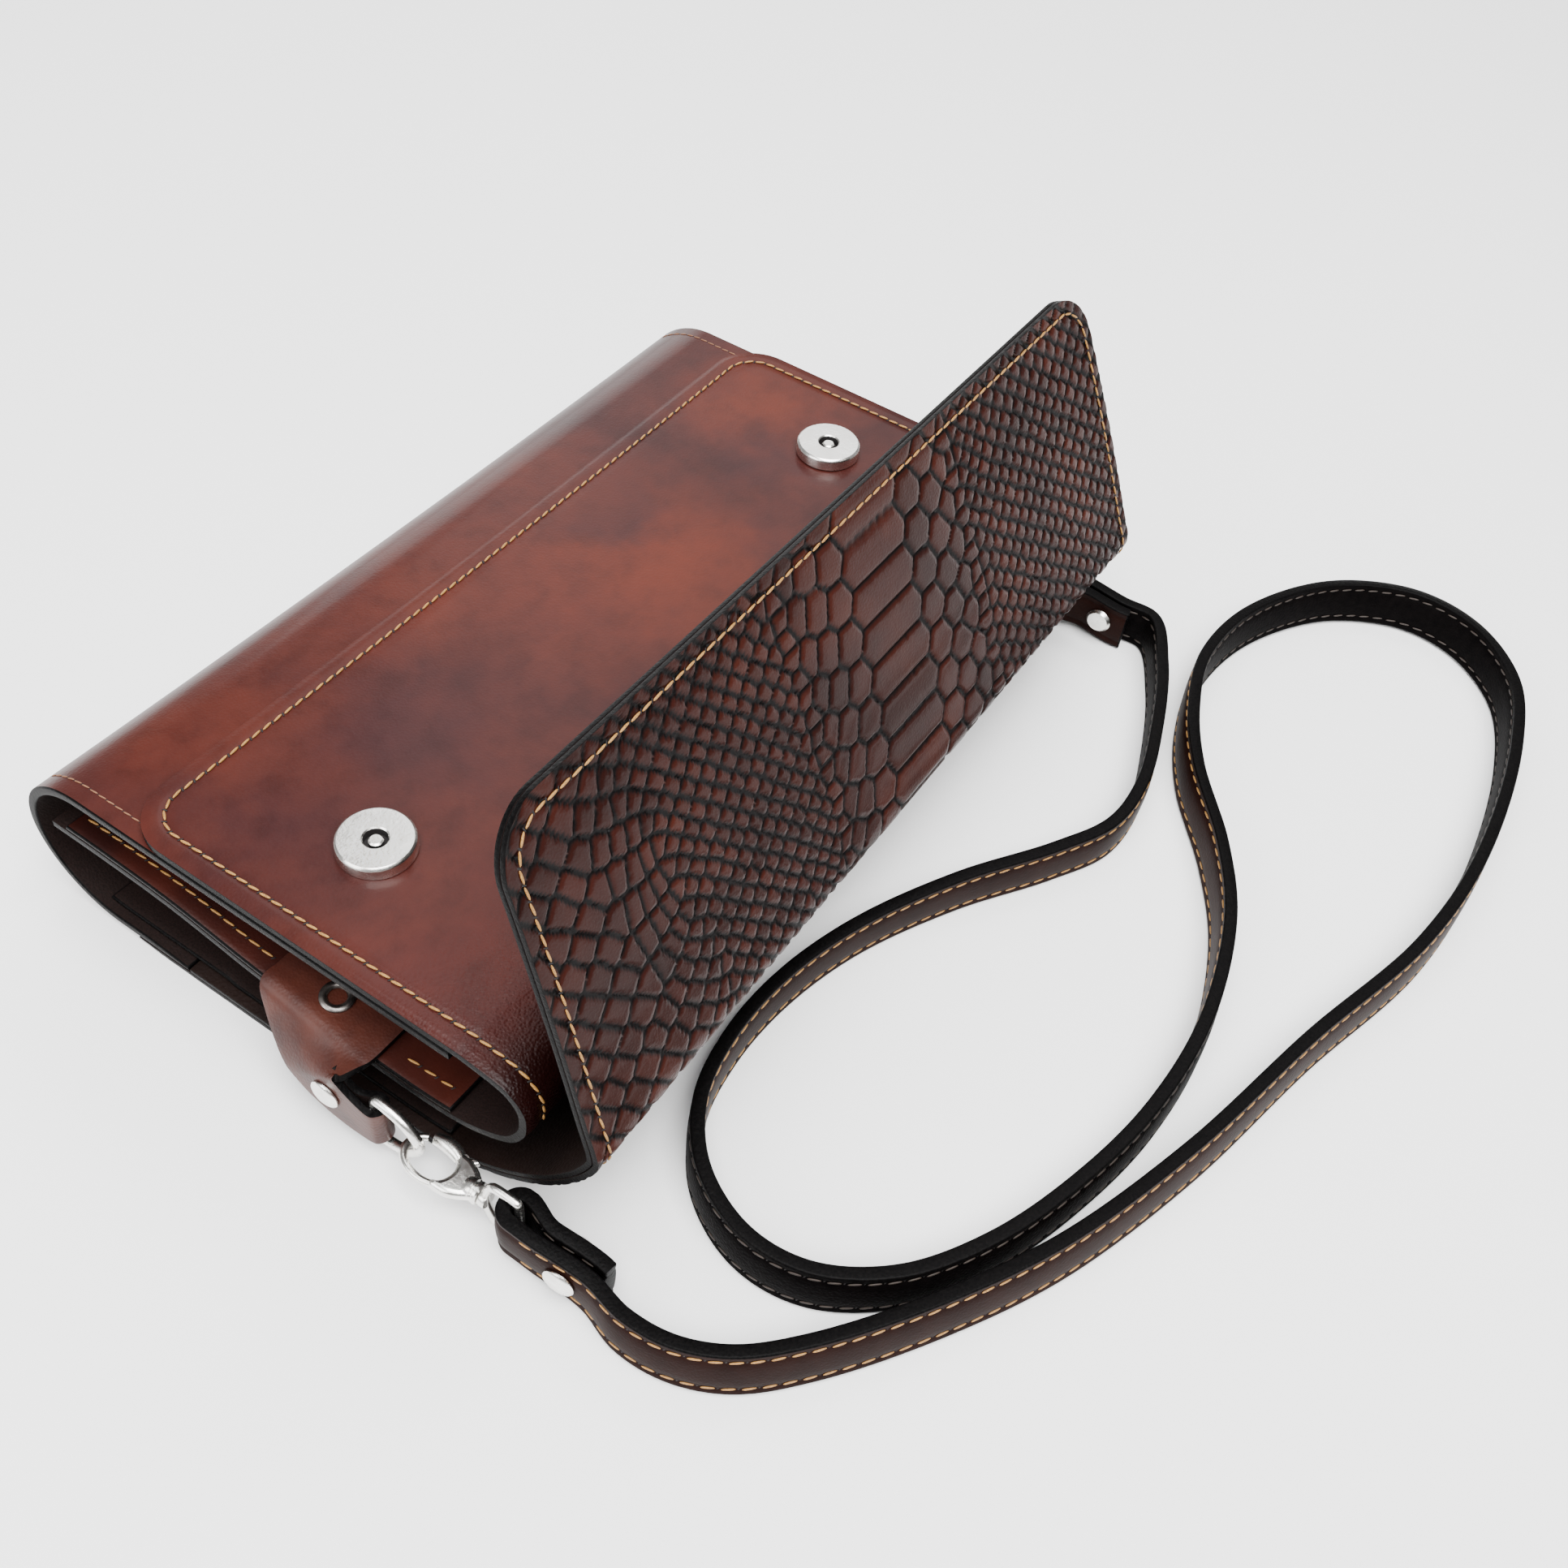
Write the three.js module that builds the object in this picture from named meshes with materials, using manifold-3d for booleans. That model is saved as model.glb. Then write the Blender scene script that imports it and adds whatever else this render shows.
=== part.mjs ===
// A small leather crossbody bag that lies on its back with its flap raised, in millimetres.
// X runs across the bag, Y from the mouth to the bottom fold, Z up.
// The origin is on the resting face of the back panel, under the middle of the body.
// A panel is a wall that follows a section in the YZ plane and runs straight across the bag.
import * as THREE from "three";
import { mergeVertices } from "three/addons/utils/BufferGeometryUtils.js";
import Module from "manifold-3d";

const wasm = await Module();
wasm.setup();

// The body.
const bodyWidth = 240;
const bodyDepth = 46.5;
const foldReach = 83.5;
const mouthReach = 65;
const sag = 1.6;

// The leathers.
const plyWall = 1.4;
const liningWall = 1.2;
const shellWall = 2.4;
const lidWall = 2.2;
const gussetWall = 1.4;
const tabWall = 1.6;
const seam = 0.3;

// The flap.
const flapLength = 77;
const flapLean = 22.5;
const flapBow = 0.9;
const flapTaper = 8;
const flapCorner = 13;

// The front panel that lies on the shell.
const lidCorner = 14;
const gussetDepth = 26;

// The strap and what it hangs on.
const strapWidth = 13;
const strapWall = 4;
const strapTail = 22;
const tabWidth = 32;
const ringWire = 2.5;
const ringHeight = 18;
const ringReach = 12;
const hookLength = 21.5;
const hookWidth = 11;
const hookPlate = 2.6;
const eyeWire = 2.1;
const clearance = 0.3;

// The magnets and rivets.
const magnetAcross = 18;
const magnetTall = 3.3;
const magnetInset = 29;
const magnetFromEdge = 16;
const capAcross = 7.6;
const capTall = 1.2;
const postAcross = 2.4;
const eyeletAcross = 8;

const halfWidth = bodyWidth / 2;
const lidTop = bodyDepth + seam + lidWall;
const degrees = Math.PI / 180;

const bag = new THREE.Group();

const leatherBrown = { color: 0x7a3b2c, roughness: 0.35, metalness: 0 };
const embossedBrown = { color: 0x5a3029, roughness: 0.5, metalness: 0 };
const liningBrown = { color: 0x35201c, roughness: 0.7, metalness: 0 };
const strapBrown = { color: 0x503a34, roughness: 0.6, metalness: 0 };
const nickel = { color: 0xc8c6c0, roughness: 0.25, metalness: 1 };
const darkNickel = { color: 0x3a3634, roughness: 0.4, metalness: 1 };

function addPiece(name, geometry, finish) {
  const mesh = new THREE.Mesh(geometry, new THREE.MeshStandardMaterial(finish));
  mesh.name = name;
  bag.add(mesh);
  return mesh;
}

// A closed mesh with shared vertices and no other attribute, as a solid that can be cut.
function solidOf(geometry) {
  const bare = geometry.clone();
  bare.deleteAttribute("normal");
  bare.deleteAttribute("uv");
  const merged = mergeVertices(bare, 1e-3);
  return new wasm.Manifold(
    new wasm.Mesh({
      numProp: 3,
      vertProperties: merged.attributes.position.array,
      triVerts: new Uint32Array(merged.index.array),
    }),
  );
}

function geometryOf(solid) {
  const mesh = solid.getMesh();
  const geometry = new THREE.BufferGeometry();
  geometry.setAttribute("position", new THREE.BufferAttribute(mesh.vertProperties, 3));
  geometry.setIndex(new THREE.BufferAttribute(mesh.triVerts, 1));
  return geometry;
}

// Joins two faces, each a grid of points with the same rows and columns, into one closed wall.
function wallBetween(upper, lower) {
  const rows = upper.length;
  const columns = upper[0].length;
  const points = [...upper.flat(), ...lower.flat()];
  const at = (face, row, column) => face * rows * columns + row * columns + column;
  const triangles = [];
  const addQuad = (a, b, c, d) => triangles.push(a, b, c, a, c, d);
  for (let row = 0; row < rows - 1; row++) {
    for (let column = 0; column < columns - 1; column++) {
      const [a, b, c, d] = [
        [row, column],
        [row, column + 1],
        [row + 1, column + 1],
        [row + 1, column],
      ];
      addQuad(...[a, b, c, d].map((place) => at(0, ...place)));
      addQuad(...[a, d, c, b].map((place) => at(1, ...place)));
    }
  }
  for (let row = 0; row < rows - 1; row++) {
    addQuad(at(0, row + 1, 0), at(1, row + 1, 0), at(1, row, 0), at(0, row, 0));
    const last = columns - 1;
    addQuad(at(0, row, last), at(1, row, last), at(1, row + 1, last), at(0, row + 1, last));
  }
  for (let column = 0; column < columns - 1; column++) {
    addQuad(at(0, 0, column), at(1, 0, column), at(1, 0, column + 1), at(0, 0, column + 1));
    const last = rows - 1;
    addQuad(at(0, last, column + 1), at(1, last, column + 1), at(1, last, column), at(0, last, column));
  }
  const geometry = new THREE.BufferGeometry().setFromPoints(points);
  geometry.setIndex(triangles);
  return facingOut(geometry);
}

function facingOut(geometry) {
  const position = geometry.attributes.position;
  const index = geometry.index.array;
  const [a, b, c] = [0, 1, 2].map(() => new THREE.Vector3());
  let volume = 0;
  for (let i = 0; i < index.length; i += 3) {
    a.fromBufferAttribute(position, index[i]);
    b.fromBufferAttribute(position, index[i + 1]);
    c.fromBufferAttribute(position, index[i + 2]);
    volume += a.dot(b.cross(c));
  }
  if (volume < 0) index.reverse();
  return geometry;
}

// Places along the bag are shares of the reach to the fold, or to the mouth where negative.
function alongBag(share) {
  return share * (share > 0 ? foldReach : mouthReach);
}

// The front sinks a little between the ends of the bag, less so the nearer to the back.
function settle(point) {
  const across = 1 - (point.x / halfWidth) ** 2;
  const upper = THREE.MathUtils.smoothstep(point.z, 0.5 * bodyDepth, bodyDepth);
  return point.setZ(point.z - sag * across * upper);
}

// Sections are paths in the YZ plane: x of the path is the bag's Y, y of the path its Z.

// The shell runs from the mouth over the front, round the bottom fold and under the back.
const shellUnder = plyWall + seam;
const noseRadius = (bodyDepth - shellUnder) / 2;
const noseY = foldReach - noseRadius;
const noseZ = shellUnder + noseRadius;
const shellMouth = alongBag(-0.7);
const shellLap = alongBag(0.46);
const shellSection = new THREE.Path();
shellSection.moveTo(shellMouth, bodyDepth);
shellSection.lineTo(noseY, bodyDepth);
shellSection.absarc(noseY, noseZ, noseRadius, Math.PI / 2, -Math.PI / 2, true);
shellSection.lineTo(shellLap, shellUnder);

// The back panel lies flat, rises at the mouth and goes on as the raised flap.
const backRise = [
  { along: -0.62, up: 0.025 },
  { along: -0.8, up: 0.125 },
  { along: -0.95, up: 0.26 },
  { along: -1.09, up: 0.44 },
  { along: -1.2, up: 0.65 },
  { along: -1.262, up: 0.82 },
  { along: -1.275, up: 0.92 },
];
const flapShares = [0.12, 0.3, 0.5, 0.7, 0.85, 1];
const hinge = backRise[backRise.length - 1];
const flapRoot = new THREE.Vector2(alongBag(hinge.along), hinge.up * bodyDepth);
const flapRun = new THREE.Vector2(Math.sin(flapLean * degrees), Math.cos(flapLean * degrees));

function flapPoint(share) {
  const bow = flapBow * Math.sin(Math.PI * share);
  return new THREE.Vector2(
    flapRoot.x + flapRun.x * flapLength * share - flapRun.y * bow,
    flapRoot.y + flapRun.y * flapLength * share + flapRun.x * bow,
  );
}

function backSection(start) {
  const section = new THREE.Path();
  section.moveTo(start, 0);
  section.lineTo(alongBag(-0.42), 0);
  const rise = backRise.map((row) => new THREE.Vector2(alongBag(row.along), row.up * bodyDepth));
  section.splineThru([...rise, ...flapShares.map(flapPoint)]);
  return section;
}

// The front panel lies on the shell, rolls round the mouth and goes back inside as a divider.
const rollAndDivider = [
  { along: -0.91, up: 1.012 },
  { along: -0.985, up: 0.915 },
  { along: -1.0, up: 0.8 },
  { along: -0.98, up: 0.67 },
  { along: -0.9, up: 0.525 },
  { along: -0.7, up: 0.4 },
  { along: -0.4, up: 0.375 },
  { along: -0.1, up: 0.41 },
  { along: 0.17, up: 0.465 },
  { along: 0.45, up: 0.555 },
  { along: 0.7, up: 0.585 },
  { along: 0.9, up: 0.59 },
];
const lidSection = new THREE.Path();
lidSection.moveTo(alongBag(0.59), lidTop);
lidSection.lineTo(alongBag(-0.74), lidTop);
lidSection.splineThru(
  rollAndDivider.map((row) => new THREE.Vector2(alongBag(row.along), row.up * bodyDepth)),
);

// One row of points across the bag, at a distance along a section and a depth below its face.
function acrossRow(section, distance, depth, half, columns) {
  const share = THREE.MathUtils.clamp(distance / section.getLength(), 0, 1);
  const point = section.getPoint(share);
  const tangent = section.getTangent(share);
  const y = point.x + tangent.y * depth;
  const z = point.y - tangent.x * depth;
  const row = [];
  for (let column = 0; column <= columns; column++) {
    row.push(new THREE.Vector3(half * ((2 * column) / columns - 1), y, z));
  }
  return row;
}

// Distances along a section, close together where the corners are rounded.
function stations(length, steps, corner, cornerAtStart) {
  const places = [];
  const cornerSteps = corner > 0 ? 5 : 0;
  for (let i = 0; i < cornerSteps; i++) {
    places.push(corner * (1 - Math.cos((i / cornerSteps) * (Math.PI / 2))));
  }
  for (let i = 0; i <= steps; i++) {
    places.push(corner + ((length - corner) * i) / steps);
  }
  return cornerAtStart ? places : places.map((place) => length - place).reverse();
}

// Half the width that a rounded corner leaves at a distance from the free edge.
function roundedHalf(half, corner, fromEdge) {
  if (fromEdge >= corner) return half;
  return half - corner + Math.sqrt(corner ** 2 - (corner - fromEdge) ** 2);
}

function panel({ section, wall, steps, columns, halfAt, corner = 0, cornerAtStart = true, shape }) {
  const length = section.getLength();
  const faces = [0, wall].map((depth) =>
    stations(length, steps, corner, cornerAtStart).map((distance) =>
      acrossRow(section, distance, depth, halfAt(distance, length), columns).map(shape),
    ),
  );
  return wallBetween(...faces);
}

const asIs = (point) => point;

const shell = panel({
  section: shellSection,
  wall: shellWall,
  steps: 22,
  columns: 6,
  halfAt: () => halfWidth,
  shape: settle,
});
addPiece("front_shell", shell, leatherBrown);

const lid = panel({
  section: lidSection,
  wall: -lidWall,
  steps: 34,
  columns: 6,
  corner: lidCorner,
  halfAt: (distance) => roundedHalf(halfWidth - seam, lidCorner, distance),
  shape: settle,
});
addPiece("front_panel_and_divider", lid, leatherBrown);

// The flap narrows from the hinge to its free edge.
function flapHalf(distance, length) {
  const alongFlap = THREE.MathUtils.clamp(1 - (length - distance) / flapLength, 0, 1);
  return roundedHalf(halfWidth - flapTaper * alongFlap, flapCorner, length - distance);
}

const backLap = alongBag(0.66);
const plySection = backSection(backLap);
const ply = panel({
  section: plySection,
  wall: plyWall,
  steps: 26,
  columns: 6,
  corner: flapCorner,
  cornerAtStart: false,
  halfAt: flapHalf,
  shape: asIs,
});
addPiece("back_and_flap", ply, embossedBrown);

// The lining lies on the ply's inner face, from the shell's lap to the flap's free edge.
const plyLength = plySection.getLength();
const liningStart = backLap - shellLap + 2 * seam;
const liningStations = [
  liningStart,
  ...stations(plyLength, 26, flapCorner, false).filter((distance) => distance > liningStart + 2),
];

function liningFace(depth, columns) {
  return liningStations.map((distance) =>
    acrossRow(plySection, distance, depth, flapHalf(distance, plyLength), columns),
  );
}

const liningUnder = plyWall + seam;
const flapDepth = liningUnder + liningWall;
addPiece("flap_lining", wallBetween(liningFace(liningUnder, 6), liningFace(flapDepth, 6)), liningBrown);

// Heights inside the bag, from which the gussets take their places.
function heightAlong(rows, y) {
  const next = rows.findIndex((row, i) => i > 0 && (row.y - y) * (rows[i - 1].y - y) <= 0);
  const [a, b] = [rows[next - 1], rows[next]];
  return THREE.MathUtils.lerp(a.z, b.z, (y - a.y) / (b.y - a.y));
}

const dividerStart = 0.53;
const dividerFaces = [0, -lidWall].map((depth) => {
  const rows = [];
  for (let i = 0; i <= 30; i++) {
    const distance = lidSection.getLength() * (dividerStart + ((1 - dividerStart) * i) / 30);
    rows.push(acrossRow(lidSection, distance, depth, 0, 1)[0]);
  }
  return rows;
});
const dividerUnder = (y) => heightAlong(dividerFaces[0], y);
const dividerTop = (y) => heightAlong(dividerFaces[1], y);
const noseRise = (y) => {
  const inner = noseRadius - shellWall;
  return Math.sqrt(inner ** 2 - Math.max(0, y - noseY) ** 2);
};
const shellCeiling = (y) => noseZ + noseRise(y);
const liningTop = liningFace(flapDepth, 1).map((row) => row[0]);
const lapStep = 12;
const backFloor = (y) =>
  y > shellLap - lapStep ? noseZ - noseRise(y) : heightAlong(liningTop, y);

// A gusset is a strip folded inwards between two panels, open to the end of the bag.
const gussetFold = [
  { inset: 0.0, rise: 0.0 },
  { inset: 0.45, rise: 0.0 },
  { inset: 0.8, rise: 0.14 },
  { inset: 0.97, rise: 0.36 },
  { inset: 1.0, rise: 0.5 },
  { inset: 0.97, rise: 0.64 },
  { inset: 0.8, rise: 0.86 },
  { inset: 0.45, rise: 1.0 },
  { inset: 0.15, rise: 1.0 },
];

function gusset({ side, recess, floor, ceiling, from, to, steps }) {
  const faces = [-gussetWall / 2, gussetWall / 2].map((offset) => {
    const rows = [];
    for (let i = 0; i <= steps; i++) {
      const y = THREE.MathUtils.lerp(from, to, i / steps);
      const low = floor(y) + seam + gussetWall / 2;
      const high = ceiling(y) - seam - gussetWall / 2;
      const fold = gussetFold.map(
        ({ inset, rise }) =>
          new THREE.Vector2(
            halfWidth - recess - gussetDepth * inset,
            THREE.MathUtils.lerp(low, high, rise),
          ),
      );
      rows.push(
        fold.map((point, k) => {
          const before = fold[Math.max(k - 1, 0)];
          const after = fold[Math.min(k + 1, fold.length - 1)];
          const run = after.clone().sub(before).normalize();
          const x = point.x + run.y * offset;
          const z = point.y - run.x * offset;
          return settle(new THREE.Vector3(side * x, y, z));
        }),
      );
    }
    return rows;
  });
  return wallBetween(...faces);
}

// The near end is at -X and the far end at +X.
const ends = [
  { name: "near", side: -1 },
  { name: "far", side: 1 },
];

ends.forEach(({ name, side }) => {
  const front = gusset({
    side,
    recess: seam,
    floor: dividerTop,
    ceiling: shellCeiling,
    from: alongBag(0.84),
    to: alongBag(-0.67),
    steps: 9,
  });
  addPiece(`front_gusset_${name}`, front, leatherBrown);
  const back = gusset({
    side,
    recess: 2.5,
    floor: backFloor,
    ceiling: dividerUnder,
    from: alongBag(0.79),
    to: alongBag(-0.62),
    steps: 9,
  });
  addPiece(`back_gusset_${name}`, back, liningBrown);
});

// A turned piece: its profile in the RZ plane, spun round Z.
function turned(profile, sides) {
  const points = profile.map(([radius, height]) => new THREE.Vector2(radius, height));
  return new THREE.LatheGeometry(points, sides).rotateX(Math.PI / 2);
}

// A magnet has a bevelled rim and a blind hole with a low post in it.
const magnetRim = 0.6;
const magnetHole = 2.6;
const magnetPost = 1.7;
const magnetBody = turned(
  [
    [0, 0],
    [magnetAcross / 2, 0],
    [magnetAcross / 2, magnetTall - magnetRim],
    [magnetAcross / 2 - magnetRim, magnetTall],
    [magnetHole, magnetTall],
    [magnetHole, magnetTall / 2],
    [magnetPost, magnetTall / 2],
    [magnetPost, magnetTall - magnetRim],
    [0, magnetTall - magnetRim],
  ],
  20,
);

// Its other half, on the flap, is a thin disc with a stud that enters the hole.
const studTall = 2.4;
const discTall = 1.6;
const magnetMate = turned(
  [
    [0, 0],
    [magnetAcross / 2, 0],
    [magnetAcross / 2, discTall - magnetRim],
    [magnetAcross / 2 - magnetRim, discTall],
    [magnetPost, discTall],
    [magnetPost, discTall + studTall - magnetRim],
    [magnetPost - magnetRim, discTall + studTall],
    [0, discTall + studTall],
  ],
  20,
);

ends.forEach(({ name, side }) => {
  const x = side * (halfWidth - magnetInset);
  const seat = settle(new THREE.Vector3(x, 0, lidTop));
  const magnet = addPiece(`magnet_${name}`, magnetBody, nickel);
  magnet.position.set(x, 0, seat.z + seam);
  const mate = addPiece(`flap_magnet_${name}`, magnetMate, nickel);
  const [place] = acrossRow(plySection, plyLength - magnetFromEdge, flapDepth + seam, 0, 1);
  mate.position.set(x, place.y, place.z);
  mate.rotation.x = -Math.PI / 2 - flapLean * degrees;
});

// A tube with a round wire along a closed loop.
function closedWire(points, wire, steps, sides) {
  const loop = new THREE.CatmullRomCurve3(points, true, "centripetal");
  return new THREE.TubeGeometry(loop, steps, wire / 2, sides, true);
}

// A loop of wire in the YZ plane: a straight bar along Z at y = 0 and a bow that reaches to -Y.
const ringOutline = [
  { out: 0, up: 0 },
  { out: 0, up: 0.6 },
  { out: 0.015, up: 0.9 },
  { out: 0.1, up: 1 },
  { out: 0.4, up: 0.95 },
  { out: 0.75, up: 0.7 },
  { out: 0.95, up: 0.3 },
  { out: 1, up: 0 },
];
const eyeOutline = [
  { out: 0, up: 0 },
  { out: 0, up: 0.6 },
  { out: 0.02, up: 0.92 },
  { out: 0.12, up: 1 },
  { out: 0.6, up: 1 },
  { out: 0.8, up: 0.85 },
  { out: 0.95, up: 0.4 },
  { out: 1, up: 0 },
];

function wireLoop(outline, height, reach, wire) {
  const half = (height - wire) / 2;
  const run = reach - wire;
  const upper = outline.map(({ out, up }) => new THREE.Vector3(0, -out * run, up * half));
  const lower = outline.slice(1, -1).map(({ out, up }) => new THREE.Vector3(0, -out * run, -up * half));
  return closedWire([...upper, ...lower.reverse()], wire, 32, 6);
}

// Where the ring, the clasp and the strap hang, for the end at -X; the far end mirrors it.
const barInset = 6.3;
const ringX = halfWidth - seam + barInset;
const ringY = -27.6;
const ringZ = 11.3;
const eyeRoom = 0.4;
const eyeHeight = strapWidth + 2 * eyeRoom + 2 * eyeWire;
const eyeReach = 11.5;
const hookZ = eyeHeight / 2 + 0.1;
const hookTip = ringY - (ringReach - ringWire) / 2 - ringWire;
const hookBase = hookTip - hookLength;
const collarLength = 1.8;
const eyeY = hookBase - seam - collarLength / 2 - eyeReach + eyeWire;

// The tab starts on the gusset's flange, bends over its edge and tapers down to the ring.
// The turn is the angle of its width from the bag's length towards upright.
const flangeTop = (y) => dividerTop(y) + seam + gussetWall;
const tabY = -7.2;
const tabZ = flangeTop(tabY) + 2 * seam + tabWall / 2;
const tabSlope = (flangeTop(tabY + tabWidth / 2) - flangeTop(tabY - tabWidth / 2)) / tabWidth;
const rootTurn = -Math.atan(tabSlope) / degrees;
const legX = ringX + ringWire / 2 + seam + tabWall / 2;
const innerLegX = legX - tabWall - seam;
const capY = ringY + 11.5;
const capZ = ringZ + 3;
const tabDrop = tabZ - ringZ;
const tabOuterLeg = [
  { x: halfWidth - 10.5, y: tabY, z: tabZ, wide: 1, turn: rootTurn },
  { x: halfWidth - 4, y: tabY, z: tabZ, wide: 1, turn: rootTurn },
  { x: halfWidth + 0.9, y: tabY, z: tabZ, wide: 0.99, turn: rootTurn },
  { x: halfWidth + 4, y: tabY - 0.4, z: tabZ - 0.17 * tabDrop, wide: 0.96, turn: 4 },
  { x: legX - 0.5, y: tabY - 2.4, z: tabZ - 0.45 * tabDrop, wide: 0.82, turn: 24 },
  { x: legX, y: capY + 3, z: capZ + 2.4, wide: 0.66, turn: 44 },
  { x: legX, y: capY, z: capZ, wide: 0.56, turn: 58 },
  { x: legX, y: capY - 5, z: ringZ + 1, wide: 0.45, turn: 76 },
  { x: legX, y: ringY, z: ringZ, wide: 0.36, turn: 90 },
];
const tabLoop = [45, 90, 135].map((angle) => ({
  x: ringX + (legX - ringX) * Math.cos(angle * degrees),
  y: ringY - (legX - ringX) * Math.sin(angle * degrees),
  z: ringZ,
  wide: 0.36,
  turn: 90,
}));
const tabInnerLeg = [
  { x: 2 * ringX - legX, y: ringY + 0.5, z: ringZ, wide: 0.36, turn: 90 },
  { x: innerLegX - 0.9, y: ringY + 3.2, z: ringZ + 0.3, wide: 0.41, turn: 87 },
  { x: innerLegX, y: capY - 5, z: ringZ + 1, wide: 0.44, turn: 76 },
  { x: innerLegX, y: capY, z: capZ, wide: 0.52, turn: 58 },
  { x: innerLegX, y: capY + 5, z: capZ + 3.2, wide: 0.5, turn: 50 },
];

function tabFaces(side, rows) {
  const centre = rows.map(({ x, y, z }) => new THREE.Vector3(side * x, y, z));
  const across = rows.map(
    ({ turn }) => new THREE.Vector3(0, Math.cos(turn * degrees), -Math.sin(turn * degrees)),
  );
  return [-tabWall / 2, tabWall / 2].map((offset) =>
    rows.map(({ wide }, i) => {
      const before = centre[Math.max(i - 1, 0)];
      const after = centre[Math.min(i + 1, rows.length - 1)];
      const normal = after.clone().sub(before).cross(across[i]).normalize();
      return [-0.5, -0.2, 0.2, 0.5].map((share) =>
        centre[i]
          .clone()
          .addScaledVector(across[i], share * wide * tabWidth)
          .addScaledVector(normal, offset),
      );
    }),
  );
}

// A hole through leather, for the post of a rivet: a rod along X at a place.
function rodAlongX(x, y, z, radius, length) {
  const rod = new THREE.CylinderGeometry(radius, radius, length, 12);
  return rod.rotateZ(Math.PI / 2).translate(x, y, z);
}

// A rivet along Z: a domed cap above z = 0, a post, and a flat cap below the leather.
function rivet(grip, lowerCap) {
  const cap = capAcross / 2;
  const post = postAcross / 2;
  return turned(
    [
      [0, -grip - seam - 0.8 * capTall],
      [0.8 * lowerCap * cap, -grip - seam - 0.7 * capTall],
      [lowerCap * cap, -grip - seam],
      [post, -grip - seam],
      [post, 0],
      [cap, 0],
      [cap, 0.3 * capTall],
      [0.7 * cap, 0.8 * capTall],
      [0, capTall],
    ],
    16,
  );
}

ends.forEach(({ name, side }) => {
  const rows = [...tabOuterLeg, ...tabLoop, ...tabInnerLeg];
  const grip = legX - innerLegX + tabWall;
  const hole = rodAlongX(side * legX, capY, capZ, postAcross / 2 + clearance, 3 * grip);
  const tab = solidOf(wallBetween(...tabFaces(side, rows))).subtract(solidOf(hole));
  addPiece(`tab_${name}`, geometryOf(tab), leatherBrown);

  const cap = addPiece(`tab_rivet_${name}`, rivet(grip + seam, 0.8), nickel);
  cap.position.set(side * (legX + tabWall / 2 + seam), capY, capZ);
  cap.rotation.y = (side * Math.PI) / 2;

  const eyelet = turned(
    [
      [eyeletAcross / 2, 0],
      [eyeletAcross / 2, 0.5],
      [eyeletAcross / 2 - 0.7, 0.9],
      [0.3 * eyeletAcross, 0.9],
      [0.26 * eyeletAcross, 0.4],
      [0.26 * eyeletAcross, 0],
      [eyeletAcross / 2, 0],
    ],
    16,
  );
  const ring = addPiece(`tab_eyelet_${name}`, eyelet, darkNickel);
  ring.position.set(side * (halfWidth - 5.6), tabY, tabZ + tabWall / 2 + seam);
  ring.rotation.x = Math.atan(tabSlope);

  const wire = wireLoop(ringOutline, ringHeight, ringReach + ringWire, ringWire);
  const dRing = addPiece(`d_ring_${name}`, wire, nickel);
  dRing.position.set(side * ringX, ringY, ringZ);
});

// The clasp lies flat: its hook is a ring with a wedge towards the strap, and its gate closes the ring.
// Plan coordinates: u across, v from the swivel to the tip.
const ringRise = 0.4 * hookLength;
const hookWall = 2.2;
const knuckleU = 0.33 * hookWidth;
const knuckleV = 0.37 * hookLength;
const knuckleRadius = 1.5;
const gateEnd = 0.77 * hookLength;
const gateRoom = 0.5;
const gateInner = knuckleU - 1.1;
const barrelRadius = 2.5;
const barrelLength = 4.2;
const bevel = 0.5;

// An outline in the plan, as a plate that is centred on the plan's plane and has bevelled edges.
function plate(shape, thick, edge) {
  const geometry = new THREE.ExtrudeGeometry(shape, {
    depth: thick - 2 * edge,
    bevelEnabled: edge > 0,
    bevelThickness: edge,
    bevelSize: edge,
    bevelOffset: -edge,
    bevelSegments: 1,
    curveSegments: 9,
  });
  return solidOf(geometry.translate(0, 0, edge - thick / 2));
}

function ovalRing() {
  const middle = (hookLength + ringRise) / 2;
  const halfLength = (hookLength - ringRise) / 2 + 1.6;
  const ring = new THREE.Shape();
  ring.absellipse(0, middle - 1.6, hookWidth / 2, halfLength, 0, 2 * Math.PI);
  const opening = new THREE.Path();
  opening.absellipse(0, middle - 1.2, hookWidth / 2 - hookWall, halfLength - hookWall, 0, 2 * Math.PI, true);
  ring.holes.push(opening);
  return plate(ring, hookPlate, bevel);
}

function wedge() {
  const shape = new THREE.Shape();
  const start = 1;
  shape.moveTo(-0.17 * hookWidth, start);
  shape.lineTo(0.17 * hookWidth, start);
  shape.quadraticCurveTo(0.4 * hookWidth, 0.14 * hookLength, 0.45 * hookWidth, 0.34 * hookLength);
  shape.lineTo(0.33 * hookWidth, 0.46 * hookLength);
  shape.quadraticCurveTo(0, 0.16 * hookLength, -0.33 * hookWidth, 0.46 * hookLength);
  shape.lineTo(-0.45 * hookWidth, 0.34 * hookLength);
  shape.quadraticCurveTo(-0.4 * hookWidth, 0.14 * hookLength, -0.17 * hookWidth, start);
  return plate(shape, hookPlate, bevel);
}

function box(uFrom, uTo, vFrom, vTo, thick) {
  const geometry = new THREE.BoxGeometry(uTo - uFrom, vTo - vFrom, thick);
  return solidOf(geometry.translate((uFrom + uTo) / 2, (vFrom + vTo) / 2, 0));
}

function disc(u, v, radius, thick) {
  const geometry = new THREE.CylinderGeometry(radius, radius, thick, 16);
  return solidOf(geometry.rotateX(Math.PI / 2).translate(u, v, 0));
}

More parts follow.
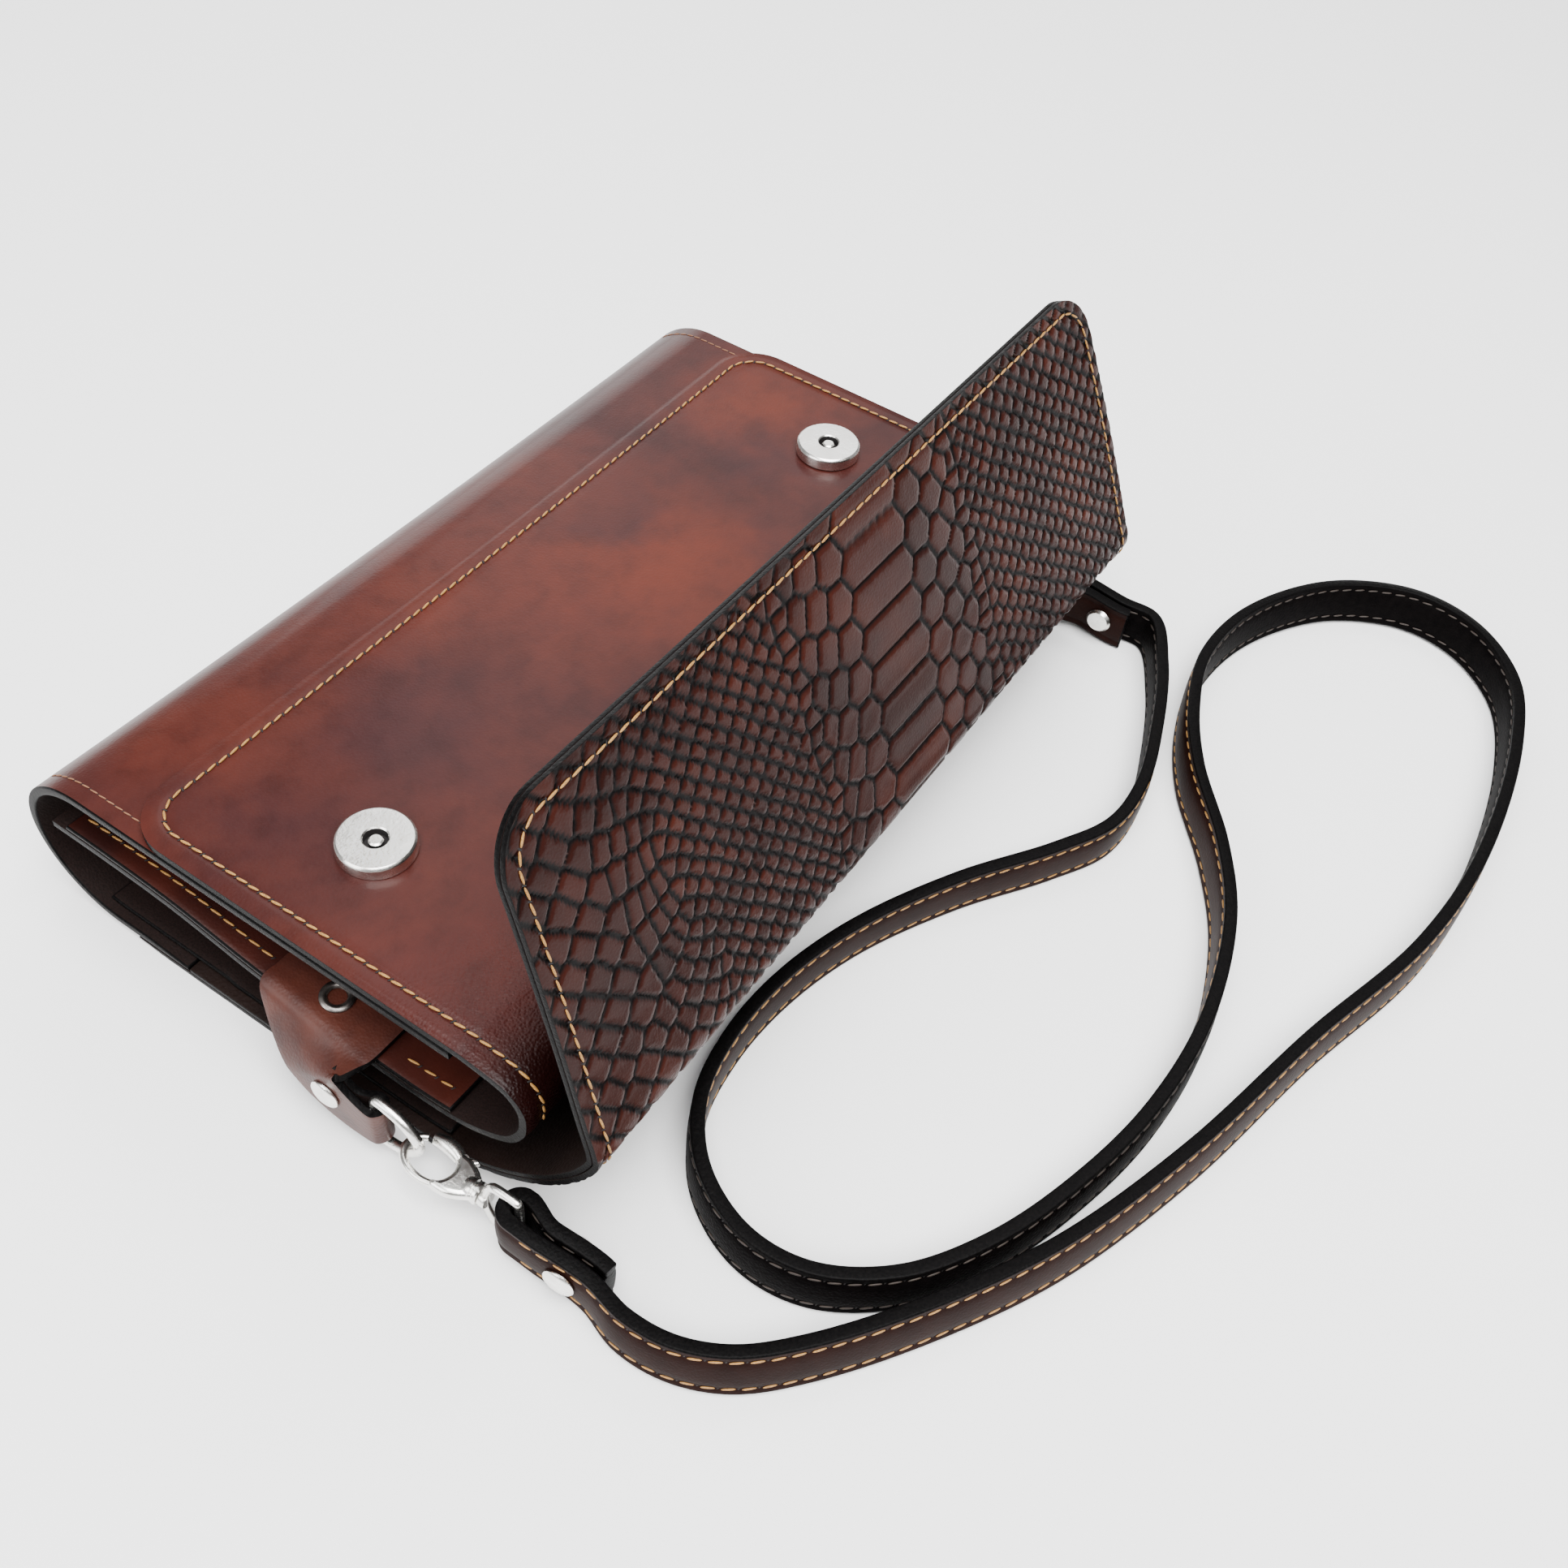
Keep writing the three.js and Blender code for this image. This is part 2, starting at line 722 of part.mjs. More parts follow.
function rodAlongV(radius, vFrom, vTo) {
  const geometry = new THREE.CylinderGeometry(radius, radius, vTo - vFrom, 16);
  return solidOf(geometry.translate(0, (vFrom + vTo) / 2, 0));
}

const hookRing = ovalRing();
const gateSlot = box(gateInner - gateRoom, hookWidth, knuckleV, gateEnd, 2 * hookPlate);
const knuckleRoom = disc(knuckleU, knuckleV, knuckleRadius + clearance, 2 * hookPlate);
const postRadius = 1.1;
const postLength = 3;

function hookSolid(bored) {
  const body = hookRing.add(wedge()).add(rodAlongV(barrelRadius, 0, barrelLength));
  const open = body.subtract(gateSlot).subtract(knuckleRoom).subtract(gateTailRoom());
  return bored ? open.subtract(rodAlongV(postRadius + clearance, -1, postLength + clearance)) : open;
}

// The gate is the piece of the ring over the slot, on a round knuckle, with a tail for the thumb.
function gateTail(extra) {
  const tail = new THREE.Shape();
  tail.moveTo(knuckleU - 0.2, knuckleV + 1 + extra);
  tail.lineTo(knuckleU + 1.8 + extra, knuckleV - 1.8 + extra);
  tail.lineTo(knuckleU + 1.3 + extra, knuckleV - 3.2 - extra);
  tail.lineTo(knuckleU - 0.6 - extra, knuckleV - 1 - extra);
  return tail;
}

function gateTailRoom() {
  return plate(gateTail(clearance), 2 * hookPlate, 0);
}

function gateSolid() {
  const armSpan = box(gateInner, hookWidth, knuckleV + clearance, gateEnd - clearance, hookPlate);
  const arm = hookRing.intersect(armSpan);
  const knuckle = disc(knuckleU, knuckleV, knuckleRadius, hookPlate - 2 * clearance);
  return arm.add(knuckle).add(plate(gateTail(0), 0.6 * hookPlate, 0));
}

// The eye: a loop of wire on a collar, with the post that the hook turns on.
function eyeLoop() {
  const wire = wireLoop(eyeOutline, eyeHeight, eyeReach, eyeWire).rotateZ(Math.PI);
  return solidOf(wire.translate(0, eyeY - hookBase, 0));
}

function eyeSolid() {
  const collar = rodAlongV(0.8 * barrelRadius, -seam - collarLength, -seam);
  const post = rodAlongV(postRadius, -seam - collarLength / 2, postLength);
  return eyeLoop().add(collar).add(post);
}

function placeClasp(name, solid, side) {
  const piece = addPiece(name, geometryOf(solid), nickel);
  piece.position.set(side * ringX, hookBase, hookZ);
}

placeClasp("clasp_hook_near", hookSolid(true), -1);
placeClasp("clasp_gate_near", gateSolid(), -1);
placeClasp("clasp_eye_near", eyeSolid(), -1);
const closedClasp = hookRing
  .add(wedge())
  .add(rodAlongV(barrelRadius, -seam - collarLength, barrelLength))
  .add(eyeLoop());
placeClasp("clasp_far", closedClasp, 1);

// The strap stands on edge. Its route is the middle of its upper edge, as shares of half the
// bag's width and of the reach to the mouth; the lean turns the upper edge to the left of the way.
const strapRoute = [
  { across: -1.07, along: -1.34, lean: 3 },
  { across: -1.085, along: -1.5, lean: 8 },
  { across: -1.075, along: -1.67, lean: 10 },
  { across: -1.03, along: -1.84, lean: 12 },
  { across: -0.935, along: -2.02, lean: 12 },
  { across: -0.75, along: -2.27, lean: 12 },
  { across: -0.53, along: -2.5, lean: 12 },
  { across: -0.22, along: -2.71, lean: 11 },
  { across: 0.155, along: -2.89, lean: 9 },
  { across: 0.52, along: -3.09, lean: 7 },
  { across: 0.84, along: -3.15, lean: 3 },
  { across: 1.245, along: -3.08, lean: 0 },
  { across: 1.46, along: -2.945, lean: -5 },
  { across: 1.585, along: -2.69, lean: -10 },
  { across: 1.605, along: -2.4, lean: -12 },
  { across: 1.5, along: -2.06, lean: -12 },
  { across: 1.275, along: -1.81, lean: -10 },
  { across: 1.045, along: -1.755, lean: -4 },
  { across: 0.855, along: -1.85, lean: 4 },
  { across: 0.695, along: -2.0, lean: 8 },
  { across: 0.51, along: -2.255, lean: 7 },
  { across: 0.33, along: -2.43, lean: 3 },
  { across: 0.07, along: -2.54, lean: -4 },
  { across: -0.18, along: -2.535, lean: -6 },
  { across: -0.4, along: -2.45, lean: -6 },
  { across: -0.6, along: -2.31, lean: -6 },
  { across: -0.75, along: -2.12, lean: -7 },
  { across: -0.835, along: -1.88, lean: -8 },
  { across: -0.845, along: -1.64, lean: -7 },
  { across: -0.785, along: -1.4, lean: -4 },
  { across: -0.675, along: -1.245, lean: 0 },
  { across: -0.53, along: -1.185, lean: 2 },
  { across: -0.36, along: -1.195, lean: 2 },
  { across: -0.16, along: -1.29, lean: 0 },
  { across: 0.07, along: -1.49, lean: 0 },
  { across: 0.27, along: -1.725, lean: 0 },
  { across: 0.41, along: -1.85, lean: 1 },
  { across: 0.56, along: -1.855, lean: 1 },
  { across: 0.74, along: -1.77, lean: 0 },
  { across: 0.945, along: -1.625, lean: -2 },
  { across: 1.085, along: -1.46, lean: -3 },
  { across: 1.08, along: -1.3, lean: -2 },
];

const foldRadius = eyeWire / 2 + seam + strapWall / 2;
const leanPerMm = 0.1;
const strapEnds = [-1, 1].map((side) => new THREE.Vector3(side * (ringX + foldRadius), eyeY, 0));
const strapCurve = new THREE.CatmullRomCurve3(
  [
    strapEnds[0],
    strapEnds[0].clone().setY(eyeY - 6),
    ...strapRoute.map(
      ({ across, along, lean }) => new THREE.Vector3(across * halfWidth, alongBag(along), lean * leanPerMm),
    ),
    strapEnds[1].clone().setY(eyeY - 6),
    strapEnds[1],
  ],
  false,
  "centripetal",
);

// One section of the strap: where it stands, which way it runs, its lean and how far it is lifted.
const strapLength = strapCurve.getLength();
const eyeLift = hookZ - strapWidth / 2;
const liftRun = 26;

function strapPlace(distance) {
  const share = THREE.MathUtils.clamp(distance / strapLength, 0, 1);
  const point = strapCurve.getPointAt(share);
  const tangent = strapCurve.getTangentAt(share).setZ(0).normalize();
  const fromEnd = Math.min(distance, strapLength - distance);
  const lift = eyeLift * (1 - THREE.MathUtils.smoothstep(fromEnd, 0, liftRun));
  return { point, tangent, lean: (point.z / leanPerMm) * degrees, lift };
}

// The tail lies against the strap's inner side, and both spread round the bar of the eye.
const foldRun = 9.5;
function tailPlace(fromEnd, atStart) {
  const place = strapPlace(atStart ? fromEnd : strapLength - fromEnd);
  const left = new THREE.Vector3(-place.tangent.y, place.tangent.x, 0);
  const spread = 2 * foldRadius - strapWall - seam;
  const gap = strapWall + seam + spread * (1 - THREE.MathUtils.smoothstep(fromEnd, 0, foldRun));
  const point = place.point.clone().addScaledVector(left, gap);
  return { point, tangent: place.tangent.clone().negate(), lean: -place.lean, lift: place.lift };
}

function foldPlaces(side) {
  const places = [];
  for (let i = 1; i < 6; i++) {
    const angle = (Math.PI * i) / 6;
    const out = new THREE.Vector3(Math.cos(angle), Math.sin(angle), 0);
    const point = new THREE.Vector3(side * ringX, eyeY, 0).addScaledVector(out, foldRadius);
    places.push({ point, tangent: new THREE.Vector3(-out.y, out.x, 0), lean: 0, lift: eyeLift });
  }
  return places;
}

function strapSection({ point, tangent, lean, lift }) {
  const left = new THREE.Vector3(-tangent.y, tangent.x, 0);
  const up = left.clone().multiplyScalar(Math.sin(lean)).setZ(Math.cos(lean));
  const out = left.clone().multiplyScalar(Math.cos(lean)).setZ(-Math.sin(lean));
  const top = strapWidth * Math.cos(lean) + (strapWall / 2) * Math.abs(Math.sin(lean)) + lift;
  const upper = point.clone().setZ(top);
  const lower = upper.clone().addScaledVector(up, -strapWidth);
  return [-strapWall / 2, strapWall / 2].map((offset) =>
    [upper, lower].map((edge) => edge.clone().addScaledVector(out, offset)),
  );
}

// Stations along the strap, with the tails' own stations at both ends.
const tailSteps = 5;
const bandSteps = 98;
const tailStations = [];
for (let i = 0; i <= tailSteps; i++) tailStations.push((strapTail * i) / tailSteps);
const bandStations = [];
for (let i = 1; i < bandSteps; i++) {
  bandStations.push(THREE.MathUtils.lerp(strapTail, strapLength - strapTail, i / bandSteps));
}
const farStations = tailStations.map((distance) => strapLength - distance).reverse();
const strapPlaces = [
  ...tailStations.map((fromEnd) => tailPlace(fromEnd, true)).reverse(),
  ...foldPlaces(-1),
  ...[...tailStations, ...bandStations, ...farStations].map(strapPlace),
  ...foldPlaces(1),
  ...tailStations.map((fromEnd) => tailPlace(fromEnd, false)),
];
const strapSections = strapPlaces.map(strapSection);
const strapBand = wallBetween(
  strapSections.map((section) => section[0]),
  strapSections.map((section) => section[1]),
);

// A rivet holds the strap and its tail together, past the fold round the eye.
const rivetFromEnd = 14;
const strapGrip = 2 * strapWall + 2 * seam;
const strapRivets = [rivetFromEnd, strapLength - rivetFromEnd].map((distance) => {
  const [outer, inner] = strapSection(strapPlace(distance));
  const out = outer[0].clone().sub(inner[0]).normalize();
  const seat = outer[0].clone().lerp(outer[1], 0.5).addScaledVector(out, seam);
  return { seat, turn: new THREE.Quaternion().setFromUnitVectors(new THREE.Vector3(0, 0, 1), out) };
});

let strap = solidOf(strapBand);
strapRivets.forEach(({ seat, turn }, i) => {
  const holeRadius = postAcross / 2 + clearance;
  const hole = new THREE.CylinderGeometry(holeRadius, holeRadius, 2.5 * strapGrip, 12);
  hole.rotateX(Math.PI / 2).applyQuaternion(turn).translate(seat.x, seat.y, seat.z);
  strap = strap.subtract(solidOf(hole));
  const cap = addPiece(`strap_rivet_${ends[i].name}`, rivet(strapGrip, 1), nickel);
  cap.position.copy(seat);
  cap.quaternion.copy(turn);
});
addPiece("strap", geometryOf(strap), strapBrown);

export default bag;
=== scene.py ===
"""A small leather crossbody bag that lies on its back with its flap raised."""
import math

import bpy
import numpy as np
from mathutils import Matrix, Vector


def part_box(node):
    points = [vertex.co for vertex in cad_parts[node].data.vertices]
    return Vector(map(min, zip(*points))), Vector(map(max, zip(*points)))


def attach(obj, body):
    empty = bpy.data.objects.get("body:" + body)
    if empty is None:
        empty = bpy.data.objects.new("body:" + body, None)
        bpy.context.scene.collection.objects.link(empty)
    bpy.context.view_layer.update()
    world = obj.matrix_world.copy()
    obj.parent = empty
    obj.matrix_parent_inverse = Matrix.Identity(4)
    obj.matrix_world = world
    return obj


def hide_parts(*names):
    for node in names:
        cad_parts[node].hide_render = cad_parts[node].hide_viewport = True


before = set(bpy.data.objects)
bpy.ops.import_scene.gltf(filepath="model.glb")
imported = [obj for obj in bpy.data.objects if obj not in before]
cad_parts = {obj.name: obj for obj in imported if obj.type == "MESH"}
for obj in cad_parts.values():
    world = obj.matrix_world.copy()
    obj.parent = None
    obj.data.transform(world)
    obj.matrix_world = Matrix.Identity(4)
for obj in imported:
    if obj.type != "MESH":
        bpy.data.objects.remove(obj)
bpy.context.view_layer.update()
bpy.ops.object.select_all(action="DESELECT")


# Camera.
# The photographer stood at the near end, behind the raised flap, and looked down over the bag.
camera_place = Vector((-0.2349, -0.1730, 0.3212))
camera_right = Vector((0.5512, -0.8298, 0.0869))
camera_ahead = Vector((0.5861, 0.3109, -0.7482)).normalized()
camera_right = (camera_right - camera_right.dot(camera_ahead) * camera_ahead).normalized()
bpy.ops.object.camera_add()
camera = bpy.context.object
camera.data.lens = 36.34
camera.data.sensor_width = 36.0
camera.data.clip_start = 0.01
turn = Matrix((camera_right, camera_right.cross(camera_ahead), -camera_ahead)).transposed()
camera.matrix_world = Matrix.Translation(camera_place) @ turn.to_4x4()
bpy.context.scene.camera = camera


# Front shell.
# One hide of thick leather, stained by hand and glazed, runs from the mouth over the front, round
# the bottom fold and under the back. Its cut edges are painted black and a fine seam holds its ends.
body_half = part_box("front_shell")[1].x
body_depth = 0.0465
fold_reach = 0.0835
mouth_reach = 0.065
sag = 0.0016
shell_wall = 0.0024
shell_under = 0.0017
seam_gap = 0.0003


def along_bag(share):
    return share * (fold_reach if share > 0 else mouth_reach)


def line(start, end):
    count = max(2, int(math.dist(start, end) / 0.0005))
    return [np.array(start) + (np.array(end) - np.array(start)) * i / count for i in range(count + 1)]


def spline_through(points, steps=24):
    points = [np.array(p, float) for p in points]
    last = len(points) - 1
    run = []
    for i in range(last):
        a, b = points[i], points[i + 1]
        slope_a = (b - points[max(i - 1, 0)]) / 2
        slope_b = (points[min(i + 2, last)] - a) / 2
        for k in range(steps):
            t = k / steps
            run.append(
                (2 * a - 2 * b + slope_a + slope_b) * t**3
                + (3 * b - 3 * a - 2 * slope_a - slope_b) * t**2
                + slope_a * t
                + a
            )
    return run + [points[last]]


class Sheet:
    """A flat cut of leather bent along a section, the same all the way across the bag."""

    def __init__(self, run, half_at, hand=1, settles=True):
        run = np.array(run)
        step = np.linalg.norm(np.diff(run, axis=0), axis=1)
        keep = np.concatenate([[True], step > 1e-7])
        self.run = run[keep]
        self.walked = np.concatenate([[0], np.cumsum(np.linalg.norm(np.diff(self.run, axis=0), axis=1))])
        self.length = self.walked[-1]
        self.half_at = half_at
        self.hand = hand
        self.settles = settles

    def flat_point(self, distance):
        y = np.interp(distance, self.walked, self.run[:, 0])
        z = np.interp(distance, self.walked, self.run[:, 1])
        return np.stack([y, z], -1)

    def outward(self, distance):
        ahead = self.flat_point(np.minimum(distance + 0.0008, self.length))
        behind = self.flat_point(np.maximum(distance - 0.0008, 0))
        way = ahead - behind
        way /= np.linalg.norm(way, axis=-1, keepdims=True)
        return self.hand * np.stack([-way[..., 1], way[..., 0]], -1)

    def point(self, x, distance, lift=0.0):
        """Where a place on the flat cut lies once bent: x across, distance along, lift off its face."""
        yz = self.flat_point(distance) + self.outward(distance) * np.asarray(lift)[..., None]
        x, y, z = np.broadcast_arrays(x, yz[..., 0], yz[..., 1])
        if self.settles:
            upper = np.clip((z / body_depth - 0.5) * 2, 0, 1)
            z = z - sag * (1 - (x / body_half) ** 2) * upper**2 * (3 - 2 * upper)
        return np.stack([x, y, z], -1)

    def normal(self, x, distance):
        across = np.zeros(np.shape(distance) + (1,))
        return np.concatenate([across, self.outward(distance)], -1)


def edge_margins(widest=0.009):
    fine = [
        0, 0.0004, 0.0009, 0.0015, 0.0022, 0.003, 0.0036, 0.0042, 0.0048, 0.0054, 0.006, 0.0068, 0.0078, 0.009,
    ]
    return [m for m in fine if m <= widest]


def spread(low, high, step):
    count = max(1, int(round((high - low) / step)))
    return list(np.linspace(low, high, count + 1))


def only(piece):
    bpy.ops.object.select_all(action="DESELECT")
    piece.select_set(True)
    bpy.context.view_layer.objects.active = piece


def places_of(piece):
    flat = np.empty(len(piece.data.vertices) * 3)
    piece.data.vertices.foreach_get("co", flat)
    return flat.reshape(-1, 3)


def set_places(piece, places):
    piece.data.vertices.foreach_set("co", places.ravel())
    piece.data.update()


def new_grid(name, columns, rows):
    """A flat grid, with the column and the row that each of its vertices is in."""
    bpy.ops.object.select_all(action="DESELECT")
    bpy.ops.mesh.primitive_grid_add(x_subdivisions=columns - 1, y_subdivisions=rows - 1, size=1)
    piece = bpy.context.object
    piece.name = piece.data.name = name
    flat = places_of(piece)
    column = np.rint((flat[:, 0] + 0.5) * (columns - 1)).astype(int)
    row = np.rint((flat[:, 1] + 0.5) * (rows - 1)).astype(int)
    return piece, column, row


def bent_sheet(name, sheet, stations, margins, middle):
    """A grid with its columns gathered at the two edges, bent along the sheet's section."""
    columns = 2 * len(margins) + middle
    stations = np.array(stations)
    piece, column, row = new_grid(name, columns, len(stations))
    distance = stations[row]
    half = sheet.half_at(distance)
    inner = half - margins[-1]
    count = len(margins)
    margin = np.array(margins)
    x = inner * (2 * (column - count + 1) / (middle + 1) - 1)
    low = column < count
    high = column >= count + middle
    x[low] = (-half + margin[np.clip(column, 0, count - 1)])[low]
    x[high] = (half - margin[np.clip(columns - 1 - column, 0, count - 1)])[high]
    x *= sheet.hand
    set_places(piece, sheet.point(x, distance))
    return piece, x, distance


def apply_modifiers(piece):
    only(piece)
    for modifier in list(piece.modifiers):
        bpy.ops.object.modifier_apply(modifier=modifier.name)


def give_wall(piece, wall, face, edge, back):
    """The grid becomes a wall: its face, its painted rim and its back each get their finish."""
    for finish in (face, edge, back):
        piece.data.materials.append(finish)
    wall_maker = piece.modifiers.new("wall", "SOLIDIFY")
    wall_maker.thickness = wall
    wall_maker.offset = -1
    wall_maker.material_offset = 2
    wall_maker.material_offset_rim = 1
    apply_modifiers(piece)


def round_edges(piece, radius, segments=3):
    """Bevels the corners between the painted rim and the two faces."""
    only(piece)
    mesh = piece.data
    rim = np.empty(len(mesh.polygons), int)
    mesh.polygons.foreach_get("material_index", rim)
    sides = {}
    for polygon in mesh.polygons:
        painted = rim[polygon.index] == 1
        for key in polygon.edge_keys:
            sides.setdefault(key, set()).add(painted)
    bpy.ops.object.mode_set(mode="EDIT")
    bpy.ops.mesh.select_mode(type="EDGE")
    bpy.ops.mesh.select_all(action="DESELECT")
    bpy.ops.object.mode_set(mode="OBJECT")
    for one in mesh.edges:
        one.select = len(sides[tuple(sorted(one.vertices))]) == 2
    bpy.ops.object.mode_set(mode="EDIT")
    bpy.ops.mesh.bevel(
        offset=radius, segments=segments, profile=0.5, affect="EDGES", material=1, clamp_overlap=True
    )
    bpy.ops.object.mode_set(mode="OBJECT")
    bpy.ops.object.shade_smooth_by_angle(angle=math.radians(50))


def new_finish(name, **sockets):
    material = bpy.data.materials.new(name)
    material.use_nodes = True
    shader = material.node_tree.nodes["Principled BSDF"]
    for socket, value in sockets.items():
        shader.inputs[socket].default_value = value
    return material, material.node_tree.nodes, material.node_tree.links, shader


def add_node(nodes, kind, **settings):
    node = nodes.new(kind)
    for name, value in settings.items():
        if name in node.inputs:
            node.inputs[name].default_value = value
        else:
            setattr(node, name, value)
    return node


def noise_on(nodes, links, **settings):
    """A noise that reads the piece's own Object coordinates."""
    places = nodes.new("ShaderNodeTexCoord")
    noise = add_node(nodes, "ShaderNodeTexNoise", **settings)
    links.new(places.outputs["Object"], noise.inputs["Vector"])
    return noise


def ramp(nodes, stops):
    node = nodes.new("ShaderNodeValToRGB")
    while len(node.color_ramp.elements) < len(stops):
        node.color_ramp.elements.new(0.5)
    for element, (place, colour) in zip(node.color_ramp.elements, stops):
        element.position = place
        element.color = (*colour, 1.0)
    return node


def clouded(nodes, links, shader, stops, **settings):
    """Gives the finish its base colour: a noise on the piece, through a ramp."""
    clouds = noise_on(nodes, links, **settings)
    colours = ramp(nodes, stops)
    links.new(clouds.outputs[0], colours.inputs[0])
    links.new(colours.outputs[0], shader.inputs["Base Color"])
    return clouds


def add_bump(nodes, links, shader, height, strength, depth):
    bump = add_node(nodes, "ShaderNodeBump", Strength=strength, Distance=depth)
    links.new(height.outputs[0], bump.inputs["Height"])
    links.new(bump.outputs[0], shader.inputs["Normal"])
    return bump


# The grain of the hide: small soft pebbles, broken by fine creases. It gives a height.
grain_group = bpy.data.node_groups.new("hide_grain", "ShaderNodeTree")
grain_group.interface.new_socket("Pebbles per metre", in_out="INPUT", socket_type="NodeSocketFloat")
grain_group.interface.new_socket("Height", in_out="OUTPUT", socket_type="NodeSocketFloat")
nodes, links = grain_group.nodes, grain_group.links
group_in = nodes.new("NodeGroupInput")
group_out = nodes.new("NodeGroupOutput")
places = nodes.new("ShaderNodeTexCoord")
pebbles = add_node(nodes, "ShaderNodeTexVoronoi", feature="SMOOTH_F1", Smoothness=0.6, Randomness=1.0)
creases = add_node(nodes, "ShaderNodeTexNoise", Detail=4.0, Roughness=0.6)
third = add_node(nodes, "ShaderNodeMath", operation="MULTIPLY")
third.inputs[1].default_value = 0.35
blend = add_node(nodes, "ShaderNodeMath", operation="ADD")
links.new(places.outputs["Object"], pebbles.inputs["Vector"])
links.new(places.outputs["Object"], creases.inputs["Vector"])
links.new(group_in.outputs[0], pebbles.inputs["Scale"])
links.new(group_in.outputs[0], third.inputs[0])
links.new(third.outputs[0], creases.inputs["Scale"])
links.new(pebbles.outputs["Distance"], blend.inputs[0])
links.new(creases.outputs[0], blend.inputs[1])
links.new(blend.outputs[0], group_out.inputs[0])


def add_grain(nodes, links, shader, pebbles_per_metre, strength, depth):
    grain = nodes.new("ShaderNodeGroup")
    grain.node_tree = grain_group
    grain.inputs[0].default_value = pebbles_per_metre
    return add_bump(nodes, links, shader, grain, strength, depth)


# A soft patch of stain round a place on the bag, with a ragged border. It gives a mask.
patch_group = bpy.data.node_groups.new("stain_patch", "ShaderNodeTree")
patch_group.interface.new_socket("Middle", in_out="INPUT", socket_type="NodeSocketVector")
patch_group.interface.new_socket("Reach", in_out="INPUT", socket_type="NodeSocketFloat")
patch_group.interface.new_socket("Strength", in_out="INPUT", socket_type="NodeSocketFloat")
patch_group.interface.new_socket("Mask", in_out="OUTPUT", socket_type="NodeSocketFloat")
nodes, links = patch_group.nodes, patch_group.links
group_in = nodes.new("NodeGroupInput")
group_out = nodes.new("NodeGroupOutput")
places = nodes.new("ShaderNodeTexCoord")
ragged = add_node(nodes, "ShaderNodeTexNoise", Scale=34.0, Detail=4.0, Roughness=0.6)
push = add_node(nodes, "ShaderNodeVectorMath", operation="MULTIPLY_ADD")
push.inputs[1].default_value = (0.06, 0.06, 0.0)
apart = add_node(nodes, "ShaderNodeVectorMath", operation="DISTANCE")
fade = add_node(nodes, "ShaderNodeMapRange", interpolation_type="SMOOTHSTEP")
fade.inputs["From Min"].default_value = 0.0
fade.inputs["To Max"].default_value = 0.0
shifted = add_node(nodes, "ShaderNodeVectorMath", operation="ADD")
shifted.inputs[1].default_value = (-0.03, -0.03, 0.0)
links.new(places.outputs["Object"], ragged.inputs["Vector"])
links.new(ragged.outputs["Color"], push.inputs[0])
links.new(places.outputs["Object"], push.inputs[2])
links.new(push.outputs[0], shifted.inputs[0])
links.new(shifted.outputs[0], apart.inputs[0])
links.new(group_in.outputs["Middle"], apart.inputs[1])
links.new(apart.outputs["Value"], fade.inputs["Value"])
links.new(group_in.outputs["Reach"], fade.inputs["From Max"])
links.new(group_in.outputs["Strength"], fade.inputs["To Min"])
links.new(fade.outputs[0], group_out.inputs[0])

# The stain is laid on by hand in clouds: dark plum over red-brown, rubbed back to orange in places.
patina, nodes, links, shader = new_finish(
    "patina_leather", **{"Coat Weight": 0.1, "Coat Roughness": 0.14, "Specular IOR Level": 0.10}
)
places = nodes.new("ShaderNodeTexCoord")
clouds = noise_on(nodes, links, Scale=21.0, Detail=6.0, Roughness=0.55, Distortion=0.6)
drops = noise_on(nodes, links, Scale=110.0, Detail=5.0, Roughness=0.62)
cloud_ramp = ramp(
    nodes,
    [
        (0.30, (0.025, 0.0064, 0.0060)), (0.46, (0.036, 0.0088, 0.0074)),
        (0.58, (0.045, 0.0104, 0.0078)), (0.72, (0.054, 0.0120, 0.0080)),
    ],
)
links.new(clouds.outputs[0], cloud_ramp.inputs[0])
stained = cloud_ramp.outputs[0]
orange = (0.080, 0.0142, 0.0064, 1)
plum = (0.026, 0.0078, 0.0084, 1)
red = (0.054, 0.0098, 0.0070, 1)
for middle, reach, strength, colour in (
    ((0.020, 0.008, 0.048), 0.052, 0.75, orange),
    ((0.100, 0.028, 0.048), 0.036, 0.6, orange),
    ((-0.020, 0.045, 0.048), 0.040, 0.4, orange),
    ((-0.095, 0.066, 0.045), 0.034, 0.4, orange),
    ((-0.062, 0.018, 0.048), 0.030, 0.7, plum),
    ((-0.106, 0.022, 0.048), 0.024, 0.6, plum),
    ((0.030, 0.031, 0.048), 0.018, 0.6, plum),
    ((0.074, 0.012, 0.048), 0.019, 0.65, plum),
    ((0.045, -0.012, 0.048), 0.017, 0.45, plum),
    ((-0.102, -0.040, 0.046), 0.034, 0.65, red),
    ((0.0, -0.075, 0.03), 0.050, 0.5, red),
):
    patch = nodes.new("ShaderNodeGroup")
    patch.node_tree = patch_group
    patch.inputs["Middle"].default_value = middle
    patch.inputs["Reach"].default_value = reach
    patch.inputs["Strength"].default_value = strength
    rubbed = add_node(nodes, "ShaderNodeMix", data_type="RGBA")
    rubbed.inputs[7].default_value = colour
    links.new(patch.outputs[0], rubbed.inputs[0])
    links.new(stained, rubbed.inputs[6])
    stained = rubbed.outputs[2]
drop_ramp = ramp(nodes, [(0.32, (0.74, 0.72, 0.74)), (0.5, (1.0, 1.0, 1.0)), (0.72, (1.18, 1.14, 1.1))])
mottled = add_node(nodes, "ShaderNodeMix", data_type="RGBA", blend_type="MULTIPLY")
mottled.inputs["Factor"].default_value = 0.75
dulling = add_node(nodes, "ShaderNodeMapRange")
dulling.inputs["To Min"].default_value = 0.30
dulling.inputs["To Max"].default_value = 0.45
